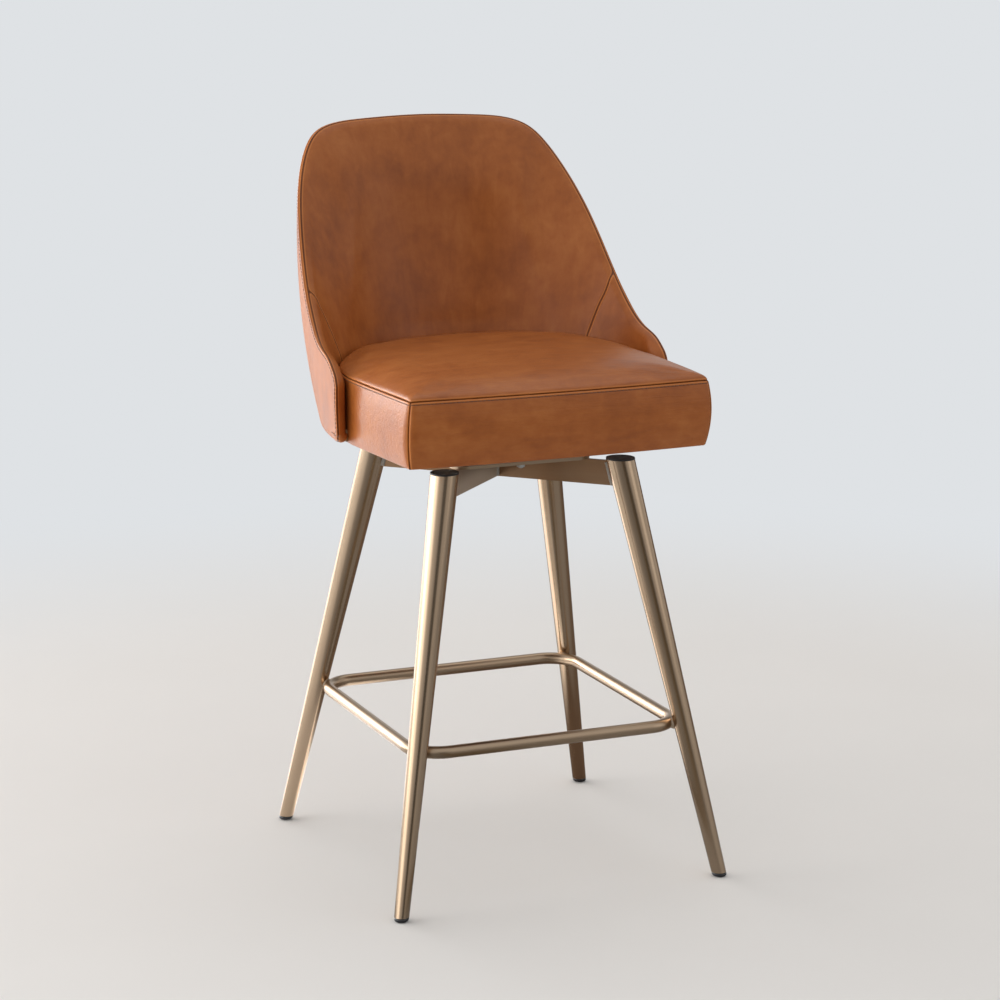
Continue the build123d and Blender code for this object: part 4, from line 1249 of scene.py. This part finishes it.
class BackSkin:
    """Points and faces of the back's closed skin, with shared points where its grids meet."""

    def __init__(self, columns, rows):
        self.columns = columns
        self.rows = rows
        self.last = 2 * columns + rows
        self.points, self.faces, self.names = [], [], {}

    def edge_place(self, k):
        """The grid place that a point of the edge stands for."""
        first = self.columns + self.rows
        if k <= self.columns:
            return self.columns - k, 0
        return (0, k - self.columns) if k <= first else (k - first, self.rows)

    def name(self, kind, side, i, j):
        """One name for each shared point, so that the grids join."""
        if kind == "roll" and j == ROLL_STEPS:
            return self.name("inner", side, *self.edge_place(i))
        if kind == "hem" and j == 1:
            return self.name("outer", side, *self.edge_place(i))
        rolled = kind in ("roll", "hem")
        middle = i in (0, self.last) if rolled else i == self.columns
        return ("roll" if rolled else kind, 0 if middle else side, i, j)

    def number(self, kind, side, i, j):
        """The number of a point on the mesh."""
        return self.names[self.name(kind, side, i, j)]

    def add(self, kind, side, grid):
        """Add a grid's points, each once."""
        for i, j in np.ndindex(grid.shape[:2]):
            name = self.name(kind, side, i, j)
            if name not in self.names:
                self.names[name] = len(self.points)
                x, y, z = grid[i, j]
                self.points.append((0.0 if name[1] == 0 else side * x, y, z))

    def cover(self, kind, side, width, height, flip):
        """Add the faces between a grid's points."""
        for i, j in np.ndindex(width, height):
            corners = ((i, j), (i + 1, j), (i + 1, j + 1), (i, j + 1))
            quad = [self.number(kind, side, *place) for place in corners]
            self.faces.append(quad[::-1] if (side > 0) == flip else quad)


def build_back(sizes, cushion, colours):
    """The back's leather: outer cover and inner padding as one closed skin, with edge and wing seams."""
    outer, inner, roll, wing = back_half(BackForm(sizes, cushion))
    columns, rows = sizes.columns, sizes.rows
    first = columns + rows
    skin = BackSkin(columns, rows)
    for side in (1, -1):
        for kind, grid in (("outer", outer), ("inner", inner), ("roll", roll)):
            skin.add(kind, side, grid)
        skin.cover("outer", side, columns, rows, False)
        skin.cover("inner", side, columns, rows, True)
        skin.cover("roll", side, skin.last, ROLL_STEPS, True)
        skin.cover("hem", side, skin.last, 1, False)
    piece = new_piece("back_leather", skin.points, skin.faces, finish_of("leather", colours))
    face_outwards(piece.data)
    above_hem = range(columns - 4, skin.last + 1)
    roll_out = range(ROLL_STEPS - 1, SEAM_STEP - 1, -1)
    seams, stitch_lines = [], []
    for side in (1, -1):
        seams += pairs_of([skin.number("roll", side, k, SEAM_STEP) for k in above_hem])
        wing_seam = [skin.number("inner", side, wing, j) for j in range(rows + 1)]
        wing_seam += [skin.number("roll", side, first + wing, j) for j in roll_out]
        seams += pairs_of(wing_seam)
        stitch_lines.append([skin.number("outer", side, *skin.edge_place(k)) for k in above_hem])
    held = [1.0] * len(skin.points)
    for (kind, _, i, j), k in skin.names.items():
        free = kind == "inner" or kind == "roll" and j >= SEAM_STEP and i > first
        if free and skin.points[k][2] > CUSHION_HIGH.z + FREE_ABOVE:
            held[k] = 0.0
    for pair in seams:
        for k in pair:
            held[k] = 1.0
    stuff(piece, held, sizes.pressure, sizes.swell_limit, rounds=60)
    mark_edges(piece.data, seams, [pair for line in stitch_lines for pair in pairs_of(line)])
    subdivide(piece)
    open_seams(piece, *BACK_GROOVE)
    place_piece(piece, "seat", "tan_leather", "back_outer_cover", "back_rim_roll", "back_inner_panel",
                "wing_pad_left", "wing_pad_right")
    for side, line in zip(("right", "left"), stitch_lines):
        spots = [Vector(skin.points[k]) for k in line]
        stitch_row(f"back_edge_stitches_{side}", spots, piece, finish_of("thread", colours))


# ---------------------------------------------------------------- legs

LEG_SIDES = 72
LEG_RINGS = 28

# The glide's upper edge: drop below the tube's end, and inset from the leg's surface
GLIDE_SHOULDER = ((0.0001, 0.0012), (0.0006, 0.0004))


def leg_ring(lower, upper, height, inset):
    """Points round a leaning, tapered leg at a height, from its two ends of (centre, radius)."""
    share = (height - lower[0].z) / (upper[0].z - lower[0].z)
    centre = lower[0].lerp(upper[0], share)
    radius = blend(lower[1], upper[1], share) - inset
    away = Vector((centre.x, centre.y, 0)).normalized()
    aside = Vector((-away.y, away.x, 0))
    lean = upper[0] - lower[0]
    return circle(centre, away * (radius * lean.length / lean.z), aside * radius, LEG_SIDES)


def stack_rings(name, rings, material):
    """A closed solid through rings of points, with sharp edges round its two ends."""
    sides = len(rings[0])
    points = [p for ring in rings for p in ring]
    piece = new_piece(name, points, tube_faces(0, len(rings), sides), material)
    face_outwards(piece.data)
    ends = set(range(sides)) | set(range(len(points) - sides, len(points)))
    for edge in piece.data.edges:
        edge.use_edge_sharp = ends.issuperset(edge.vertices)
    return piece


def build_leg(sizes, colours, corner, x, y):
    """One leg as a smooth tapered tube down to its low glide with a rounded edge."""
    low, high = (end.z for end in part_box("leg_" + corner))
    near, far = sizes.spread_top / 2, sizes.spread_floor / 2
    at_low = blend(far, near, low / sizes.height)
    lower = Vector((x * at_low, y * at_low, low)), sizes.foot_diameter / 2
    upper = Vector((x * near, y * near, high)), sizes.top_diameter / 2
    join, edge = sizes.glide_height, sizes.glide_edge
    tube = [leg_ring(lower, upper, height, 0.0) for height in np.linspace(join, high, LEG_RINGS)]
    piece = stack_rings("leg_tube_" + corner, tube, finish_of("bronze_upright", colours))
    place_piece(piece, "base", "bronze_metal", "leg_" + corner)
    profile = [*((join - drop, inset) for drop, inset in GLIDE_SHOULDER), (edge, 0.0)]
    for angle in (20, 40, 60, 80, 90):
        turn = math.radians(angle)
        profile.append((edge * (1 - math.sin(turn)), edge * (1 - math.cos(turn))))
    pad = [leg_ring(lower, upper, height, inset) for height, inset in profile]
    piece = stack_rings("glide_pad_" + corner, pad, finish_of("glossy_nylon", colours))
    place_piece(piece, "base", "black_nylon", "glide_" + corner)


def build_legs(sizes, colours):
    """All four legs with their glides."""
    for x_name, x in (("left", -1), ("right", 1)):
        for y_name, y in (("front", -1), ("rear", 1)):
            build_leg(sizes, colours, f"{y_name}_{x_name}", x, y)


# ---------------------------------------------------------------- finishes on the frame

# Finishes by the start of a bronze node's name, and by slot for all other nodes
BRONZE_FINISHES = (
    ("leg", "bronze_upright"),
    ("brace_bar_lower", "bronze_brace_lit"),
    ("brace_bar_upper", "bronze_brace"),
    ("brace_leg_welds", "bronze_weld"),
    ("brace_centre_welds", "bronze_weld"),
    ("footrest_welds", "bronze_joint"),
    ("", "bronze_level"),
)
SLOT_FINISHES = {"tan_leather": "leather"}


def dress_frame(colours):
    """Give every CAD node that still shows its procedural finish."""
    for row in frame["record"]["subparts"]:
        kind = SLOT_FINISHES.get(row["material_slot"], row["material_slot"])
        if kind == "bronze_metal":
            kind = next(name for start, name in BRONZE_FINISHES if row["node"].startswith(start))
        materials = frame["nodes"][row["node"]].data.materials
        materials.clear()
        materials.append(finish_of(kind, colours))


# ---------------------------------------------------------------- studio

# Tones of the room by direction, as shares of a turn that run from the left round the front, the right and
# the rear to the left again. The floor has its own, for what the metal mirrors from below.
ROOM_TONES = (
    (0.0, 0.32), (0.04, 0.32), (0.09, 0.10), (0.19, 0.05), (0.205, 0.008), (0.26, 0.008), (0.29, 0.07),
    (0.46, 0.07), (0.53, 0.10), (0.70, 0.10), (0.76, 0.32), (0.79, 1.0), (0.85, 1.0), (0.88, 0.32),
    (1.0, 0.32),
)
FLOOR_TONES = (
    (0.0, 0.32), (0.04, 0.32), (0.09, 0.11), (0.19, 0.06), (0.205, (0.050, 0.035, 0.014)),
    (0.25, (0.050, 0.035, 0.014)), (0.29, 0.125), (0.45, 0.125), (0.52, (0.050, 0.030, 0.018)),
    (0.70, (0.050, 0.030, 0.018)), (0.76, 0.32), (0.79, 1.0), (0.85, 1.0), (0.88, 0.32), (1.0, 0.32),
)
CEILING_AHEAD = (0.69, 0.70, 0.71)
CEILING_BEHIND = (1.20, 1.21, 1.22)
GAP_BEHIND = (0.14, 0.14, 0.145)
ROOM_BRIGHTNESS = 8.0
FLOOR_BRIGHTNESS = 2.65
FLOOR_RADIUS = 40.0
FLOOR_DROP = 0.0005


def share_of_turn(n, way):
    """A direction as a share of a turn, in the order of the tones."""
    ways = n.parts(way)
    return n.span(n.maths("ARCTAN2", ways["Y"], ways["X"]), 0.0, 1.0, -math.pi, math.pi)


def tone_round(n, share, tones, brightness):
    """The room's tone at a share of a turn."""
    return n.mix(1.0, n.ramp(share, *tones), (brightness,) * 3, "MULTIPLY")


def floor_material(colours):
    """Pale floor that turns into the wall far away and gives the metal the room's tones to mirror."""
    material, n = new_material("studio floor")
    where = n.add("ShaderNodeTexCoord").outputs["Object"]
    away = n.add("ShaderNodeVectorMath", {0: where}, operation="LENGTH").outputs["Value"]
    far = n.fall(away, 1.0, 2.2)
    near = n.mix(n.noise(where, 3.0, 4.0), times(colours.floor, 0.98), times(colours.floor, 1.02))
    tone = tone_round(n, share_of_turn(n, where), FLOOR_TONES, FLOOR_BRIGHTNESS)
    rays = n.add("ShaderNodeLightPath").outputs
    mirrored = n.maths("MULTIPLY", rays["Is Glossy Ray"], 0.9)
    unseen = n.maths("MULTIPLY", far, n.maths("SUBTRACT", 1.0, rays["Is Camera Ray"]))
    ground = n.mix(n.maths("MAXIMUM", unseen, mirrored), near, tone)
    paint = {"Base Color": ground, "Roughness": 0.7, "Specular IOR Level": 0.12}
    shader = n.add("ShaderNodeBsdfPrincipled", paint).outputs["BSDF"]
    glow = n.add("ShaderNodeEmission", {"Color": (*colours.wall, 1.0), "Strength": 1.0}).outputs["Emission"]
    seen = n.maths("MULTIPLY", far, rays["Is Camera Ray"])
    both = n.add("ShaderNodeMixShader", {0: seen, 1: shader, 2: glow})
    n.add("ShaderNodeOutputMaterial", {"Surface": both.outputs["Shader"]})
    return material


def build_world(colours):
    """Light from the room: its tones all round, a bright ceiling, and at the rear a dark gap between them."""
    world = bpy.data.worlds.new("studio light")
    bpy.context.scene.world = world
    world.use_nodes = True
    n = Nodes(world.node_tree)
    way = n.add("ShaderNodeTexCoord").outputs["Generated"]
    share, up = share_of_turn(n, way), n.parts(way)["Z"]
    tone = tone_round(n, share, ROOM_TONES, ROOM_BRIGHTNESS)
    ahead = n.mix(n.fall(up, 0.15, 0.55), tone, CEILING_AHEAD)
    behind = n.mix(n.fall(up, 0.26, 0.44), tone, GAP_BEHIND)
    behind = n.mix(n.fall(up, 0.60, 0.85), behind, CEILING_BEHIND)
    rear = n.ramp(share, (0.49, 0.0), (0.55, 1.0), (0.74, 1.0), (0.79, 0.0))
    shade = n.mix(rear, ahead, behind)
    seen = n.add("ShaderNodeLightPath").outputs["Is Camera Ray"]
    light = n.add("ShaderNodeBackground", {"Color": n.mix(seen, shade, colours.wall), "Strength": 1.0})
    n.add("ShaderNodeOutputWorld", {"Surface": light.outputs["Background"]})


def aim_at(thing, place, target):
    """Put a lamp or camera in its place in the scene, pointed at a target."""
    thing.location = place
    thing.rotation_euler = (target - place).to_track_quat("-Z", "Y").to_euler()
    bpy.context.scene.collection.objects.link(thing)


def add_lamp(name, place, size, power):
    """A soft rectangular lamp that looks at the stool."""
    data = bpy.data.lights.new(name, "AREA")
    data.shape = "RECTANGLE"
    data.size, data.size_y = size
    data.energy = power
    aim_at(bpy.data.objects.new(name, data), Vector(place), Vector((0, 0, 0.5)))


def add_camera(studio):
    """The camera, which looks down at the stool from its front left."""
    a, e = studio.azimuth, studio.elevation
    back = Vector((math.sin(a) * math.cos(e), -math.cos(a) * math.cos(e), math.sin(e)))
    right = Vector((math.cos(a), math.sin(a), 0.0))
    target = right * studio.target_right + Vector((0, 0, studio.target_height))
    data = bpy.data.cameras.new("studio_camera")
    data.lens = studio.lens
    data.sensor_width = 36.0
    camera = bpy.data.objects.new("studio_camera", data)
    aim_at(camera, target + back * studio.distance, target)
    bpy.context.scene.camera = camera


def build_studio(studio, colours):
    """Floor, room light, lamps and camera."""
    across, along = Vector((FLOOR_RADIUS, 0, 0)), Vector((0, FLOOR_RADIUS, 0))
    rim = circle(Vector((0, 0, -FLOOR_DROP)), across, along, 96)
    new_piece("studio_floor", rim, [tuple(range(len(rim)))], floor_material(colours))
    build_world(colours)
    add_lamp("window_light", (-2.9, 1.2, 1.25), (2.4, 1.8), studio.window_power)
    add_lamp("fill_light", (2.6, -2.6, 1.6), (1.6, 2.2), studio.fill_power)
    add_camera(studio)
    bpy.context.scene.view_settings.view_transform = "Standard"


# ---------------------------------------------------------------- operators and panel

class STOOL_OT_studio(bpy.types.Operator):
    """Make the floor, the lights and the camera"""

    bl_idname = "stool.studio"
    bl_label = "Studio"

    def execute(self, context):
        build_studio(context.scene.stool_studio, context.scene.stool_colours)
        return {"FINISHED"}


class STOOL_OT_frame(bpy.types.Operator):
    """Give the metal, plastic, plywood and cloth parts their finishes"""

    bl_idname = "stool.frame_finishes"
    bl_label = "Frame finishes"

    def execute(self, context):
        dress_frame(context.scene.stool_colours)
        return {"FINISHED"}


class STOOL_OT_legs(bpy.types.Operator):
    """Make the four legs' tapered tubes and their glides"""

    bl_idname = "stool.legs"
    bl_label = "Legs"

    def execute(self, context):
        build_legs(context.scene.stool_legs, context.scene.stool_colours)
        return {"FINISHED"}


class STOOL_OT_seat(bpy.types.Operator):
    """Make the stuffed leather cushion with its seams and stitches"""

    bl_idname = "stool.seat_cushion"
    bl_label = "Seat cushion"

    def execute(self, context):
        build_seat(context.scene.stool_seat, context.scene.stool_colours)
        return {"FINISHED"}


class STOOL_OT_back(bpy.types.Operator):
    """Make the padded leather back with its seams and stitches"""

    bl_idname = "stool.padded_back"
    bl_label = "Padded back"

    def execute(self, context):
        scene = context.scene
        build_back(scene.stool_back, scene.stool_seat, scene.stool_colours)
        return {"FINISHED"}


class STOOL_PT_panel(bpy.types.Panel):
    """Lists the stool's pieces in the sidebar"""

    bl_idname = "STOOL_PT_panel"
    bl_label = "Counter stool"
    bl_space_type = "VIEW_3D"
    bl_region_type = "UI"
    bl_category = "Counter stool"

    def draw(self, context):
        for operator in OPERATORS:
            self.layout.operator(operator.bl_idname)
        for group in GROUPS:
            box = self.layout.box()
            settings = getattr(context.scene, group)
            for name in settings.__annotations__:
                box.prop(settings, name)


GROUPS = {
    "stool_seat": StoolSeatSizes,
    "stool_back": StoolBackSizes,
    "stool_legs": StoolLegSizes,
    "stool_colours": StoolColours,
    "stool_studio": StoolStudio,
}
OPERATORS = (STOOL_OT_studio, STOOL_OT_frame, STOOL_OT_legs, STOOL_OT_seat, STOOL_OT_back)


def register():
    """Register the classes and the scene's settings."""
    for cls in (*GROUPS.values(), *OPERATORS, STOOL_PT_panel):
        bpy.utils.register_class(cls)
    for name, group in GROUPS.items():
        setattr(bpy.types.Scene, name, bpy.props.PointerProperty(type=group))


def unregister():
    """Undo register."""
    for name in GROUPS:
        delattr(bpy.types.Scene, name)
    for cls in reversed((*GROUPS.values(), *OPERATORS, STOOL_PT_panel)):
        bpy.utils.unregister_class(cls)


def main():
    """Make every piece in order."""
    register()
    bpy.ops.stool.studio()
    bpy.ops.stool.frame_finishes()
    bpy.ops.stool.legs()
    bpy.ops.stool.seat_cushion()
    bpy.ops.stool.padded_back()


if __name__ == "__main__":
    main()
